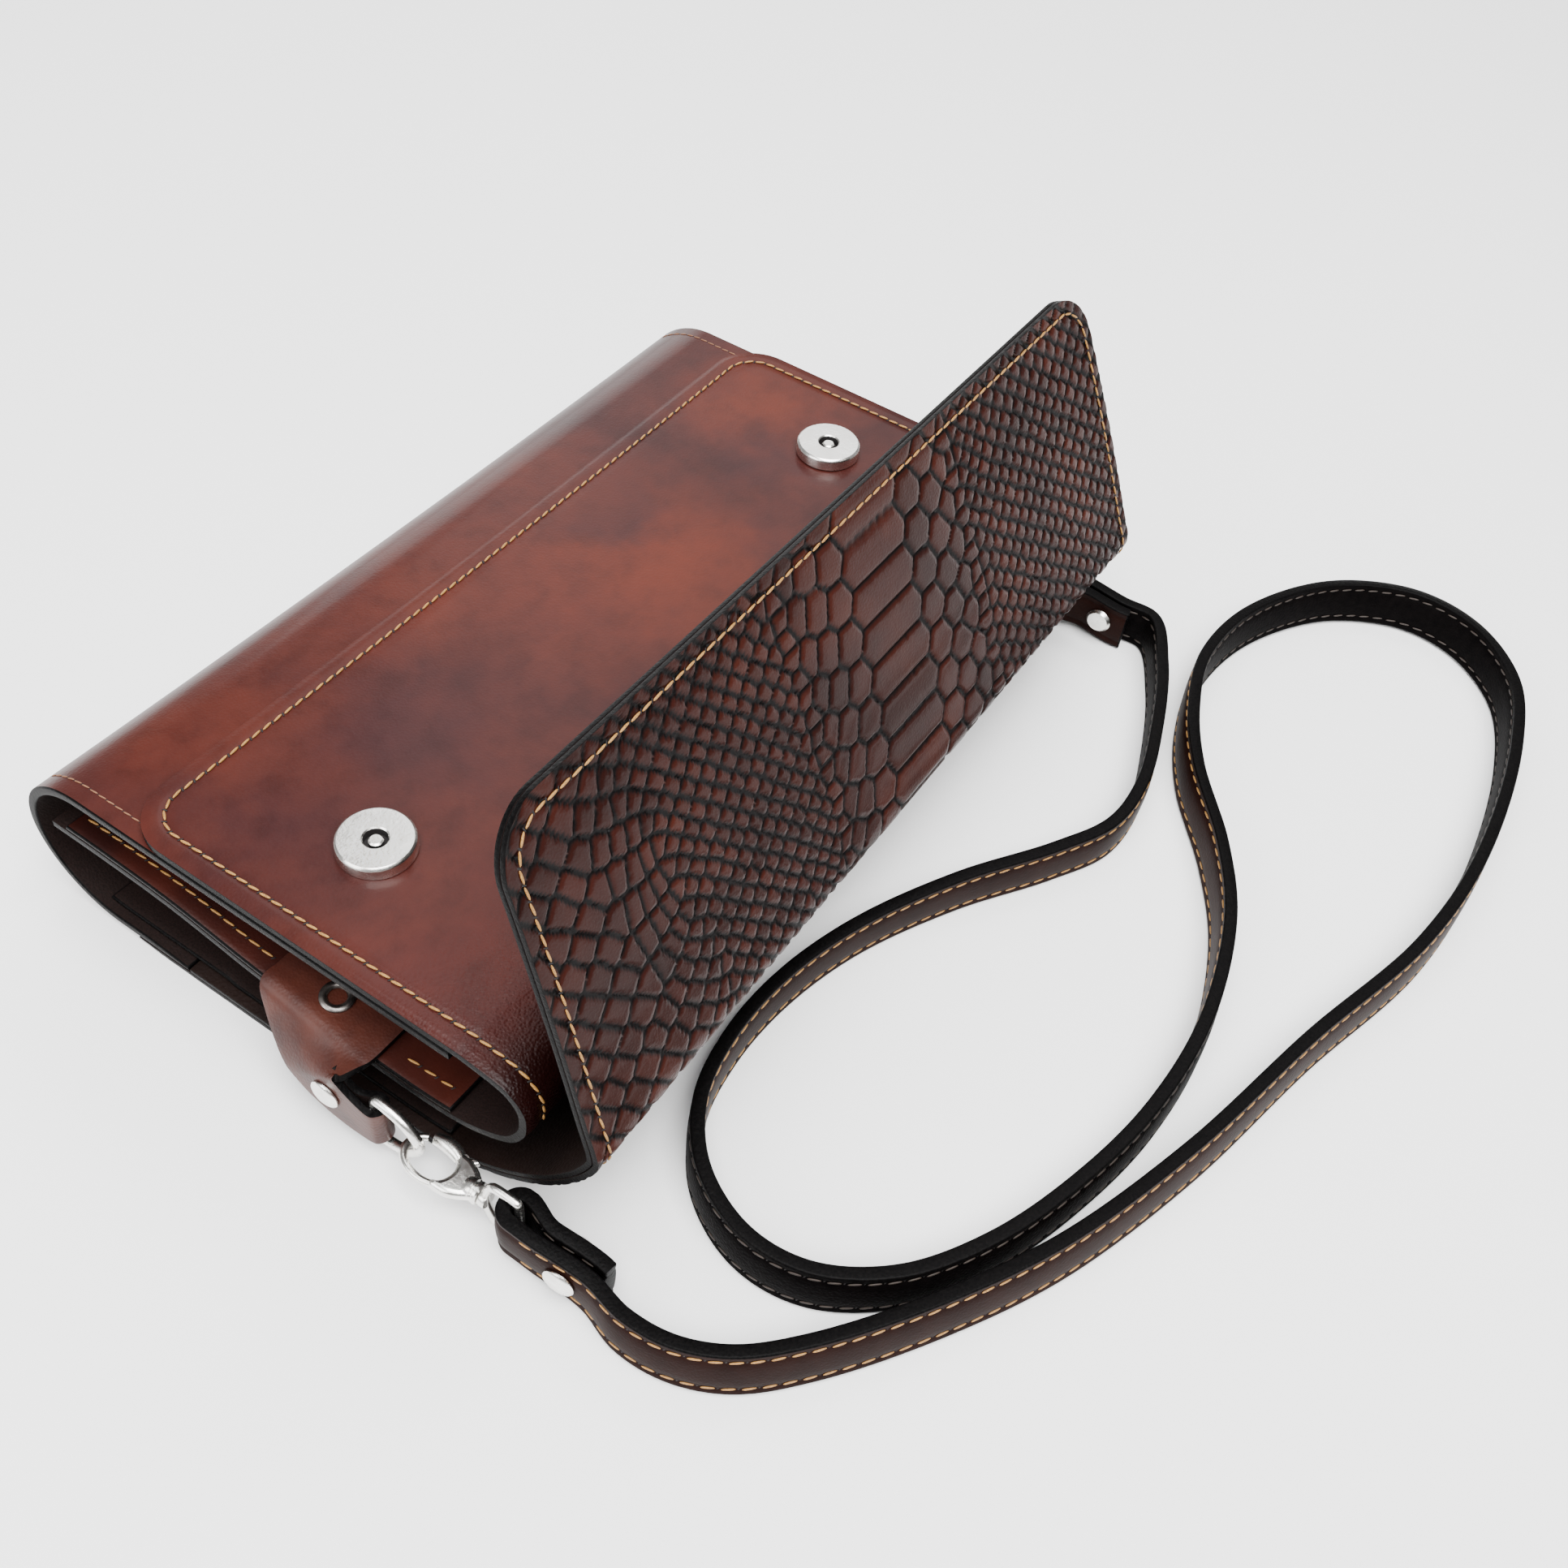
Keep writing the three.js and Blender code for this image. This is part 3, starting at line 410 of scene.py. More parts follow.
links.new(drops.outputs[0], drop_ramp.inputs[0])
links.new(stained, mottled.inputs[6])
links.new(drop_ramp.outputs[0], mottled.inputs[7])
# Along the roll at the mouth, where the raised flap shades it, near black is mixed into the colour: painted shade.
roll_shade_mix = add_node(nodes, "ShaderNodeMix", data_type="RGBA")
roll_shade_mix.inputs[7].default_value = (0.0060, 0.0010, 0.0008, 1)
links.new(mottled.outputs[2], roll_shade_mix.inputs[6])
links.new(roll_shade_mix.outputs[2], shader.inputs["Base Color"])
links.new(drops.outputs[0], dulling.inputs[0])
links.new(dulling.outputs[0], shader.inputs["Roughness"])
bump = add_grain(nodes, links, shader, 1500.0, 0.12, 0.0003)
apart_xyz = nodes.new("ShaderNodeSeparateXYZ")
at_roll = add_node(nodes, "ShaderNodeMapRange", interpolation_type="SMOOTHSTEP")
at_roll.inputs["From Min"].default_value = -0.022
at_roll.inputs["From Max"].default_value = -0.048
at_roll.inputs["To Min"].default_value = 0.12
at_roll.inputs["To Max"].default_value = 0.7
# How far that painted shade reaches: from the start of the roll round under the flap.
roll_shade_reach = add_node(nodes, "ShaderNodeMapRange", interpolation_type="SMOOTHSTEP")
roll_shade_reach.inputs["From Min"].default_value = -0.047
roll_shade_reach.inputs["From Max"].default_value = -0.062
roll_shade_reach.inputs["To Max"].default_value = 0.95
links.new(places.outputs["Object"], apart_xyz.inputs[0])
links.new(apart_xyz.outputs["Y"], at_roll.inputs["Value"])
links.new(apart_xyz.outputs["Y"], roll_shade_reach.inputs["Value"])
links.new(at_roll.outputs[0], bump.inputs["Strength"])
links.new(roll_shade_reach.outputs[0], roll_shade_mix.inputs[0])

# Edge paint is thick and black, with a little unevenness from the brush.
edge_paint, nodes, links, shader = new_finish("edge_paint", Roughness=0.42, **{"Specular IOR Level": 0.04})
strokes = clouded(
    nodes, links, shader, [(0.35, (0.0012, 0.0011, 0.0012)), (0.7, (0.0030, 0.0026, 0.0026))],
    Scale=1500.0, Detail=4.0,
)
add_bump(nodes, links, shader, strokes, 0.5, 0.0003)

# The flesh side of the hide is dyed dark and has a short nap.
flesh_side, nodes, links, shader = new_finish("flesh_side", Roughness=0.75, **{"Specular IOR Level": 0.12})
clouded(
    nodes, links, shader, [(0.35, (0.0050, 0.0024, 0.0020)), (0.65, (0.0105, 0.0050, 0.0042))],
    Scale=1800.0, Detail=5.0, Roughness=0.7,
)
add_grain(nodes, links, shader, 1900.0, 0.3, 0.0003)

nose_radius = (body_depth - shell_under) / 2
nose_y = fold_reach - nose_radius
nose_z = shell_under + nose_radius
nose = [
    (nose_y + nose_radius * math.cos(a), nose_z + nose_radius * math.sin(a))
    for a in np.linspace(math.pi / 2, -math.pi / 2, 80)
]
shell_mouth = along_bag(-0.7)
shell_lap = along_bag(0.46)
shell_run = line((shell_mouth, body_depth), (nose_y, body_depth)) + nose
shell_run += line((nose_y, shell_under), (shell_lap, shell_under))
shell = Sheet(shell_run, lambda distance: np.full(np.shape(distance), body_half))
front_shell, x, distance = bent_sheet(
    "shell_leather", shell, spread(0, shell.length, 0.0022), edge_margins(), 30
)
give_wall(front_shell, shell_wall, patina, edge_paint, flesh_side)


def move_side(piece, places, behind):
    """Puts the vertices of the wall's face, or of its back, at new places."""
    rows = places_of(piece)
    start = len(places) if behind else 0
    rows[start : start + len(places)] = places
    set_places(piece, rows)


# The end that the back panel laps is skived to half its thickness.
skive = 0.012
thinned = shell_wall / 2 * np.clip(1 - (shell.length - distance) / skive, 0, 1)
move_side(front_shell, shell.point(x, distance, thinned - shell_wall), True)
round_edges(front_shell, 0.0009)
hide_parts("front_shell")
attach(front_shell, "bag")


# Seams.
# Each stitch is a short run of waxed thread that dives into the leather at both ends, with a needle
# hole between it and the next, drawn as a near-black mark of painted shade. One stitch is modelled,
# and a seam is made of copies.
gold_thread, nodes, links, shader = new_finish("gold_thread", Roughness=0.5)
thread_noise = {"Scale": 3000.0, "Detail": 2.0}
gold_stops = [(0.3, (0.19, 0.082, 0.015)), (0.7, (0.37, 0.19, 0.045))]
plies = clouded(nodes, links, shader, gold_stops, **thread_noise)
add_bump(nodes, links, shader, plies, 0.4, 0.0002)

# A near-black finish for holes: painted shade where a hole is dark.
hole_shade, nodes, links, shader = new_finish("hole_shade", Roughness=0.8)
clouded(nodes, links, shader, [(0.3, (0.002, 0.001, 0.001)), (0.7, (0.006, 0.003, 0.003))], Scale=3000.0)

bpy.ops.object.select_all(action="DESELECT")
bpy.ops.mesh.primitive_uv_sphere_add(segments=8, ring_count=8, radius=0.5)
stitch = bpy.context.object
bpy.ops.transform.rotate(value=math.pi / 2, orient_axis="Y", center_override=(0, 0, 0))
bpy.ops.object.transform_apply(location=True, rotation=True, scale=True)
stitch_points = np.array([v.co[:] for v in stitch.data.vertices])
blunt_ends = 0.75
stitch_points[:, 0] = np.sign(stitch_points[:, 0]) * np.abs(stitch_points[:, 0] * 2) ** blunt_ends / 2
stitch_faces = [list(p.vertices) for p in stitch.data.polygons]
bpy.data.objects.remove(stitch)


def sew(name, path, normals, body, thread=0.0006, pitch=0.0032, share=0.86, finish=None, sink=0.15, slant=0.1):
    """Copies the stitch along a path that lies on the leather, and between, a slit of the pricking iron in
    near-black painted shade.
    """
    path = np.asarray(path, float)
    normals = np.asarray(normals, float)
    walked = np.concatenate([[0], np.cumsum(np.linalg.norm(np.diff(path, axis=0), axis=1))])
    count = max(1, int(walked[-1] / pitch))
    middles = (np.arange(count) + 0.5) * walked[-1] / count

    def at(distance, rows):
        return np.stack([np.interp(distance, walked, rows[:, k]) for k in range(3)], -1)

    where = at(middles, path)
    way = at(middles + pitch * 0.3, path) - at(middles - pitch * 0.3, path)
    way /= np.linalg.norm(way, axis=1, keepdims=True)
    up = at(middles, normals)
    up -= (up * way).sum(1, keepdims=True) * way
    up /= np.linalg.norm(up, axis=1, keepdims=True)
    side = np.cross(up, way)
    way_slant = way * math.cos(slant) + side * math.sin(slant)
    side_slant = np.cross(up, way_slant)
    points, faces, finishes = [], [], []
    size = np.array([pitch * share, thread, thread * 0.85])
    slit = np.array([thread * 0.6, thread * 2.0, thread * 0.3])
    lean = math.radians(28)
    for centre, along, aside, rise, straight, square in zip(where, way_slant, side_slant, up, way, side):
        tick = (
            straight * math.cos(lean) - square * math.sin(lean),
            square * math.cos(lean) + straight * math.sin(lean),
        )
        for shape, axes, offset, lift, number in (
            (size, (along, aside), 0, sink * thread, 0), (slit, tick, pitch / 2, -0.00003, 1),
        ):
            start = len(points)
            local = stitch_points * shape
            moved = local[:, :1] * axes[0] + local[:, 1:2] * axes[1] + local[:, 2:] * rise
            points.extend((moved + centre + straight * offset + rise * lift).tolist())
            faces.extend([[start + i for i in face] for face in stitch_faces])
            finishes.extend([number] * len(stitch_faces))
    mesh = bpy.data.meshes.new(name)
    mesh.from_pydata(points, [], faces)
    mesh.materials.append(finish or gold_thread)
    mesh.materials.append(hole_shade)
    mesh.polygons.foreach_set("material_index", finishes)
    mesh.polygons.foreach_set("use_smooth", [True] * len(faces))
    mesh.update()
    seam = bpy.data.objects.new(name, mesh)
    bpy.context.collection.objects.link(seam)
    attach(seam, body)
    return seam


def seam_on(name, sheet, x, distance, **sizes):
    x, distance = np.array(x, float), np.array(distance, float)
    return sew(name, sheet.point(x, distance), sheet.normal(x, distance), "bag", **sizes)


pale_thread, nodes, links, shader = new_finish("pale_thread", Roughness=0.6)
pale_stops = [(0.3, (0.115, 0.045, 0.020)), (0.7, (0.22, 0.10, 0.045))]
clouded(nodes, links, shader, pale_stops, **thread_noise)
shell_seam_inset = 0.0045
for end, side in (("near", -1), ("far", 1)):
    run = np.arange(fold_reach * 0.52 - shell_mouth, shell.length * 0.62, 0.001)
    seam_on(
        f"shell_seam_{end}", shell, np.full(len(run), side * (body_half - shell_seam_inset)), run,
        thread=0.0004, pitch=0.0026, finish=pale_thread,
    )


# Front panel and divider.
# A thinner glazed hide with rounded corners lies on the shell, rolls round the mouth and goes back
# inside as the divider. A gold seam follows its edge all the way round the visible part.
lid_wall = 0.0022
lid_half = body_half - seam_gap
lid_corner = 0.014
lid_seam_inset = 0.005
lid_top = body_depth + seam_gap + lid_wall
roll_and_divider = [
    (-0.91, 1.012), (-0.985, 0.915), (-1.0, 0.8), (-0.98, 0.67), (-0.9, 0.525), (-0.7, 0.4),
    (-0.4, 0.375), (-0.1, 0.41), (0.17, 0.465), (0.45, 0.555), (0.7, 0.585), (0.9, 0.59),
]
lid_start = (along_bag(0.59), lid_top)
lid_bend = (along_bag(-0.74), lid_top)
lid_run = line(lid_start, lid_bend)
lid_run += spline_through([lid_bend] + [(along_bag(a), up * body_depth) for a, up in roll_and_divider])


def rounded_half(half, corner, from_edge):
    inside = np.clip(corner - from_edge, 0, corner)
    return half - corner + np.sqrt(corner**2 - inside**2)


def edge_distance(x, from_end, half, corner):
    """How far a place on the flat cut is from its edge, with its corners rounded."""
    over_x = np.abs(x) - (half - corner)
    over_y = corner - from_end
    in_corner = (over_x > 0) & (over_y > 0)
    return np.where(in_corner, corner - np.hypot(over_x, over_y), np.minimum(half - np.abs(x), from_end))


def corner_stations(corner, count=12):
    return [corner * (1 - math.cos(i / count * math.pi / 2)) for i in range(count)]


def seam_outline(half, corner, inset, reach):
    """The seam's path on the flat cut: up one side, round the free end and down the other."""
    radius = corner - inset
    side = np.arange(reach, corner, -0.001)
    turn = np.linspace(0, math.pi / 2, 16)
    x = [-(half - inset) + 0 * side, -(half - corner) - radius * np.cos(turn)]
    y = [side, corner - radius * np.sin(turn)]
    end = np.arange(-(half - corner) + 0.001, half - corner, 0.001)
    x += [end, (half - corner) + radius * np.sin(turn), half - inset + 0 * side]
    y += [inset + 0 * end, corner - radius * np.cos(turn), side[::-1]]
    return np.concatenate(x), np.concatenate(y)


lid = Sheet(lid_run, lambda distance: rounded_half(lid_half, lid_corner, distance), hand=-1)
lid_stations = corner_stations(lid_corner) + spread(lid_corner, lid.length, 0.0016)
front_panel, x, distance = bent_sheet("front_panel_leather", lid, lid_stations, edge_margins(), 34)
give_wall(front_panel, lid_wall, patina, edge_paint, flesh_side)
from_edge = edge_distance(x, distance, lid_half, lid_corner)
pressed = -0.00028 * np.exp(-(((from_edge - lid_seam_inset) / 0.0009) ** 2))
worn = -0.0003 * np.exp(-(((from_edge) / 0.0012) ** 2))
move_side(front_panel, lid.point(x, distance, pressed + worn), False)
round_edges(front_panel, 0.0009)
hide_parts("front_panel_and_divider")
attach(front_panel, "bag")
x, distance = seam_outline(lid_half, lid_corner, lid_seam_inset, 0.125)
seam_on("front_panel_seam", lid, x, distance, pitch=0.0033, thread=0.00068, slant=0.14)


# Gussets.
# At each end of both compartments a folded strip joins the walls, so that the bag can open. The
# front ones show their gold seam on the divider; all fold inwards and are open to the bag's end.
gusset_wall = 0.0014
gusset_depth = 0.026
ply_wall = 0.0014
lining_wall = 0.0012
gusset_fold = [
    (0.0, 0.0), (0.45, 0.0), (0.8, 0.14), (0.97, 0.36), (1.0, 0.5), (0.97, 0.64), (0.8, 0.86),
    (0.45, 1.0), (0.15, 1.0),
]
back_rise = [
    (-0.62, 0.025), (-0.8, 0.125), (-0.95, 0.26), (-1.09, 0.44), (-1.2, 0.65), (-1.262, 0.82), (-1.275, 0.92),
]
flap_length = 0.077
flap_lean = math.radians(22.5)
flap_bow = 0.0009
flap_root = np.array([along_bag(back_rise[-1][0]), back_rise[-1][1] * body_depth])
flap_way = np.array([math.sin(flap_lean), math.cos(flap_lean)])


def flap_point(share):
    bow = flap_bow * math.sin(math.pi * share)
    return flap_root + flap_way * flap_length * share + np.array([-flap_way[1], flap_way[0]]) * bow


back_lap = along_bag(0.66)
back_bend = (along_bag(-0.42), 0.0)
ply_run = line((back_lap, 0.0), back_bend)
ply_run += spline_through(
    [back_bend]
    + [(along_bag(a), up * body_depth) for a, up in back_rise]
    + [flap_point(share) for share in (0.12, 0.3, 0.5, 0.7, 0.85, 1)]
)

divider_part = np.arange(lid.length * 0.53, lid.length, 0.0005)
divider_under = lid.flat_point(divider_part)
divider_top = divider_under - lid.outward(divider_part) * lid_wall
flat_back = Sheet(ply_run, None)
floor_part = np.arange(0, flat_back.length * 0.6, 0.0005)
floor_top = flat_back.flat_point(floor_part) - flat_back.outward(floor_part) * (ply_wall + seam_gap + lining_wall)


def height_along(rows, y):
    order = np.argsort(rows[:, 0])
    return np.interp(y, rows[order, 0], rows[order, 1])


def nose_rise(y):
    return np.sqrt((nose_radius - shell_wall) ** 2 - np.maximum(0, y - nose_y) ** 2)


def back_floor(y):
    return np.where(y > shell_lap - 0.012, nose_z - nose_rise(y), height_along(floor_top, y))


def gusset_middle(y, recess, floor, ceiling):
    """The folded strip's middle at one place along the bag, from its lower to its upper flange."""
    low = floor(y) + seam_gap + gusset_wall / 2
    high = ceiling(y) - seam_gap - gusset_wall / 2
    outer = body_half - recess
    fold = [(outer - gusset_depth * inset, low + (high - low) * rise) for inset, rise in gusset_fold]
    return np.array(spline_through(fold, 5))


def gusset(name, side, recess, floor, ceiling, start, end, finishes):
    stations = np.linspace(start, end, 40)
    rows = np.array([gusset_middle(y, recess, floor, ceiling) for y in stations])
    piece, column, row = new_grid(name, rows.shape[1], len(rows))
    x, z = rows[row, column].T
    upper = np.clip((z / body_depth - 0.5) * 2, 0, 1)
    drop = sag * (1 - (x / body_half) ** 2) * upper**2 * (3 - 2 * upper)
    set_places(piece, np.stack([side * x, stations[row], z - drop], -1))
    give_wall(piece, gusset_wall, *(finishes if side < 0 else finishes[::-1]))
    face, back = np.split(places_of(piece), 2)
    offset = (face - back) / 2
    set_places(piece, np.concatenate([face + offset, face - offset]))
    bpy.ops.object.mode_set(mode="EDIT")
    bpy.ops.mesh.select_all(action="SELECT")
    bpy.ops.mesh.normals_make_consistent(inside=False)
    bpy.ops.object.mode_set(mode="OBJECT")
    round_edges(piece, 0.0004, 2)
    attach(piece, "bag")
    return piece


gusset_red, nodes, links, shader = new_finish(
    "gusset_leather", Roughness=0.42, **{"Coat Weight": 0.15, "Coat Roughness": 0.25, "Specular IOR Level": 0.2}
)
clouded(
    nodes, links, shader, [(0.35, (0.014, 0.0030, 0.0022)), (0.65, (0.034, 0.0064, 0.0038))],
    Scale=40.0, Detail=4.0,
)
add_grain(nodes, links, shader, 1500.0, 0.13, 0.0003)

for end, side in (("near", -1), ("far", 1)):
    piece = gusset(
        f"front_gusset_leather_{end}", side, seam_gap, lambda y: height_along(divider_top, y),
        lambda y: nose_z + nose_rise(y), along_bag(0.84), along_bag(-0.67), (flesh_side, edge_paint, gusset_red),
    )
    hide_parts(f"front_gusset_{end}")
    piece = gusset(
        f"back_gusset_leather_{end}", side, 0.0025, back_floor,
        lambda y: height_along(divider_under, y), along_bag(0.79), along_bag(-0.62),
        (flesh_side, edge_paint, flesh_side),
    )
    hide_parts(f"back_gusset_{end}")
    for part, start, stop in (("fold", 0.068, 0.011), ("mouth", -0.027, -0.0415)):
        y = np.arange(start, stop, -0.001)
        z = height_along(divider_top, y) + seam_gap + gusset_wall
        path = np.stack([np.full(len(y), side * (body_half - 0.0048)), y, z], -1)
        sew(f"gusset_seam_{part}_{end}", path, np.tile([0, 0, 1.0], (len(y), 1)), "bag", pitch=0.0036)


# Back panel and flap.
# One ply of thinner hide is pressed with a snake's scales: a row of long ones up the middle, and
# small ones to both sides. It lies under the bag, rises at the mouth and stands up as the flap.
flap_taper = 0.008
flap_corner = 0.013
flap_seam_inset = 0.0036


def flap_half(distance):
    from_end = flat_back.length - distance
    up_flap = np.clip(1 - from_end / flap_length, 0, 1)
    return rounded_half(body_half - flap_taper * up_flap, flap_corner, from_end)


ply = Sheet(ply_run, flap_half, settles=False)
fine_step = 0.0007
press_start = ply.length - flap_length - 0.056
ply_stations = spread(0, press_start, 0.005)[:-1] + spread(press_start, ply.length - flap_corner, fine_step)
ply_stations += [ply.length - s for s in reversed(corner_stations(flap_corner, 20))]
embossed, x, distance = bent_sheet("embossed_leather", ply, ply_stations, [0, 0.0004, 0.0009, 0.0015], 330)

# The scales are laid out in columns on the flat cut. Each seed is a scale's middle; a long scale
# has three, which share one number.
groove_half = 0.00048
thin_groove = 0.00012
scale_depth = 0.00054
long_scale = 0.024
long_pitch = 0.0099
long_middle = 0.0065
random = np.random.default_rng(7)
seeds, owners, owner = [], [], 0
cut_length = ply.length


def seed_column(middle, width, pitch, phase, slope, jitter, spots=(0.0,)):
    global owner
    for k in range(int(cut_length / pitch) + 4):
        along = (k + phase % 1 - 2) * pitch
        shift = random.normal(0, jitter, 2)
        across = middle + slope * (along - 0.038)
        for spot in spots:
            seeds.append((across + shift[0] + spot * width, along + shift[1]))
            owners.append(owner)
        owner += 1


seed_column(long_middle, long_scale, long_pitch, 0.45, 0.0, 0.00015, (-0.31, 0.0, 0.31))
near_columns = [(0.0086, 1, 0.95), (0.0064, 1, 0.66), (0.0056, 1, 0.37), (0.0040, 2, 0.3)]
far_columns = [(0.0090, 1, 0.95), (0.0074, 1, 0.50), (0.0058, 1, 0.10), (0.0044, 2, 0.4)]
for side, columns, small, shear, slope, grows_from in (
    (-1, near_columns, (0.0031, 0.0058), -0.20, 0.10, 0.082),
    (1, far_columns, (0.0034, 0.0058), 0.0, 0.16, 0.115),
):
    reach = long_scale / 2
    number = 0
    while reach < 0.155:
        if number < len(columns):
            width, parts, phase = columns[number]
            pitch = long_pitch / parts
        else:
            grown = min(1.0, max(0.0, (reach - grows_from) / 0.016))
            width = small[0] + 0.0017 * grown
            pitch = small[1] + 0.0030 * grown
            phase = 0.5 * (number % 2) + shear * (reach - 0.036) / pitch
        lean = slope * min(1.0, max(0.0, (number - 1) / 6))
        seed_column(
            long_middle + side * (reach + width / 2), width, pitch, phase, lean,
            width * (0.03 if number < 2 else 0.07),
        )
        reach += width
        number += 1
seeds, owners = np.array(seeds), np.array(owners)
tones = random.random(owner)

from_end = cut_length - distance
ground = np.stack([x, from_end], -1)
gap = np.empty(len(ground))
tone = np.empty(len(ground))
batch = 1500
nearest = 11
for start in range(0, len(ground), batch):
    some = ground[start : start + batch]
    apart = ((some[:, None, :] - seeds[None, :, :]) ** 2).sum(-1)
    near = np.argpartition(apart, nearest, axis=1)[:, :nearest]
    away = np.take_along_axis(apart, near, 1)
    ranked = np.argsort(away, axis=1)
    near = np.take_along_axis(near, ranked, 1)
    away = np.take_along_axis(away, ranked, 1)
    mine = owners[near[:, 0]]
    other = owners[near] != mine[:, None]
    # Every edge is measured from the nearest of this scale's own seeds, and the nearest edges are
    # blended, which rounds the scale's corners.
    between = np.maximum(np.linalg.norm(seeds[near] - seeds[near[:, :1]], axis=-1), 1e-6)
    apart = seeds[near] - seeds[near[:, :1]]
    thin = np.clip(-apart[..., 0] * apart[..., 1] / between**2 * 2.2, -1, 1) * -thin_groove
    to_edge = np.where(other, (away - away[:, :1]) / (2 * between) + thin, 1.0)
    to_edge = np.maximum(to_edge, 1e-6)
    gap[start : start + batch] = (to_edge**-5.0).sum(1) ** -0.2
    tone[start : start + batch] = tones[mine]

ragged = np.array([math.sin(v[0] * 2100 + 3 * math.sin(v[1] * 1700)) for v in ground]) * 0.00005
gap = np.maximum(gap - 0.0001 + ragged, 0)
top = np.clip((gap - 0.0001) / (groove_half * 1.1), 0, 1)
top = top**2 * (3 - 2 * top)
pillow = np.sqrt(np.clip(gap / 0.0024, 0, 1))
half_here = body_half - flap_taper * np.clip(1 - from_end / flap_length, 0, 1)
from_edge = edge_distance(x, from_end, half_here, flap_corner)
pressed = np.exp(-(((from_edge - flap_seam_inset) / 0.0008) ** 2))
edge_fade = np.clip(from_edge / 0.0022, 0, 1)
scale_swell = 0.00020
lift = (top - 1) * scale_depth * (0.35 + 0.65 * edge_fade) + scale_swell * (pillow - 0.6) * edge_fade
lift -= 0.00015 * pressed
lift = np.where(distance < along_bag(0.66) - along_bag(-0.42), np.minimum(lift, 0.0), lift)


embossed_leather, nodes, links, shader = new_finish(
    "embossed_leather", **{"Coat Weight": 0.10, "Coat Roughness": 0.12, "Specular IOR Level": 0.06}
)
on_top = add_node(nodes, "ShaderNodeAttribute", attribute_name="scale_top")
own_tone = add_node(nodes, "ShaderNodeAttribute", attribute_name="scale_tone")
clouds = noise_on(nodes, links, Scale=38.0, Detail=4.0, Roughness=0.55)
brown = ramp(
    nodes, [(0.3, (0.0125, 0.0030, 0.0022)), (0.5, (0.021, 0.0048, 0.0032)), (0.75, (0.036, 0.0082, 0.0046))]
)
each = add_node(nodes, "ShaderNodeMapRange", **{"To Min": 0.72, "To Max": 1.25})
toned = add_node(nodes, "ShaderNodeVectorMath", operation="SCALE")
into = ramp(nodes, [(0.25, (0.0, 0.0, 0.0)), (0.55, (0.5, 0.5, 0.5)), (0.90, (1.0, 1.0, 1.0))])
dark = add_node(nodes, "ShaderNodeMix", data_type="RGBA")
dark.inputs[6].default_value = (0.0016, 0.0012, 0.0013, 1)
rough = add_node(nodes, "ShaderNodeMapRange", **{"To Min": 0.6, "To Max": 0.36})
for source, target in (
    (clouds.outputs[0], brown.inputs[0]), (own_tone.outputs["Fac"], each.inputs[0]),
    (brown.outputs[0], toned.inputs[0]), (each.outputs[0], toned.inputs["Scale"]),
    (on_top.outputs["Fac"], into.inputs[0]), (into.outputs[0], dark.inputs[0]), (toned.outputs[0], dark.inputs[7]),
    (dark.outputs[2], shader.inputs["Base Color"]), (into.outputs[0], rough.inputs[0]),
    (rough.outputs[0], shader.inputs["Roughness"]),
):
    links.new(source, target)
add_grain(nodes, links, shader, 1700.0, 0.2, 0.0003)
give_wall(embossed, ply_wall, embossed_leather, edge_paint, flesh_side)
mesh = embossed.data
lift -= (ply_wall - 0.0004) * np.clip(1 - distance / skive, 0, 1)
move_side(embossed, ply.point(x, distance, lift), False)
for name, values, rest in (("scale_top", top, 0.0), ("scale_tone", tone, 0.5)):
    layer = mesh.attributes.new(name, "FLOAT", "POINT")
    filled = np.full(len(mesh.vertices), rest)
    filled[: len(values)] = values
    layer.data.foreach_set("value", filled)
bpy.ops.object.mode_set(mode="EDIT")
bpy.ops.mesh.select_mode(type="FACE")
bpy.ops.mesh.select_all(action="DESELECT")
bpy.ops.object.mode_set(mode="OBJECT")
behind = np.empty(len(mesh.polygons), int)
mesh.polygons.foreach_get("material_index", behind)
mesh.polygons.foreach_set("select", behind == 2)
bpy.ops.object.mode_set(mode="EDIT")
bpy.ops.mesh.dissolve_limited(angle_limit=math.radians(0.6), use_dissolve_boundaries=False)
bpy.ops.object.mode_set(mode="OBJECT")
round_edges(embossed, 0.0005, 2)
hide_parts("back_and_flap")
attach(embossed, "bag")
outline_x, outline_end = seam_outline(body_half, flap_corner, flap_seam_inset, flap_length + 0.052)
taper = flap_taper * np.clip(1 - outline_end / flap_length, 0, 1)
outline_x = outline_x * (body_half - taper) / body_half
seam_on("flap_seam", ply, outline_x, cut_length - outline_end, pitch=0.0034, thread=0.0006, slant=0.1)


# Lining of the back and flap.
# A thin dark hide is glued to the ply's inner face and sewn with it along the edge, so that the
# painted edge shows a fine line between the two.
lining_under = ply_wall + seam_gap
lining_start = back_lap - shell_lap + 2 * seam_gap
lining_stations = spread(lining_start, cut_length - flap_corner, 0.002)
lining_stations += [cut_length - s for s in reversed(corner_stations(flap_corner))]


class Behind(Sheet):
    """A sheet that lies at a depth behind another one."""

    def __init__(self, front, depth):
        self.__dict__.update(front.__dict__)
        self.hand = -1
        self.depth = depth

    def point(self, x, distance, lift=0.0):
        return Sheet.point(self, x, distance, lift + self.depth)


lining_leather, nodes, links, shader = new_finish("lining_leather", Roughness=0.55, **{"Specular IOR Level": 0.15})
clouded(
    nodes, links, shader, [(0.35, (0.0045, 0.0024, 0.0020)), (0.65, (0.0105, 0.0050, 0.0038))],
    Scale=30.0, Detail=4.0,
)
add_grain(nodes, links, shader, 1400.0, 0.3, 0.0003)
inside = Behind(ply, lining_under + lining_wall)
lining, x, distance = bent_sheet("lining_leather", inside, lining_stations, edge_margins(0.003), 20)
give_wall(lining, lining_wall, lining_leather, edge_paint, flesh_side)
round_edges(lining, 0.0004, 2)
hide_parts("flap_lining")
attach(lining, "bag")


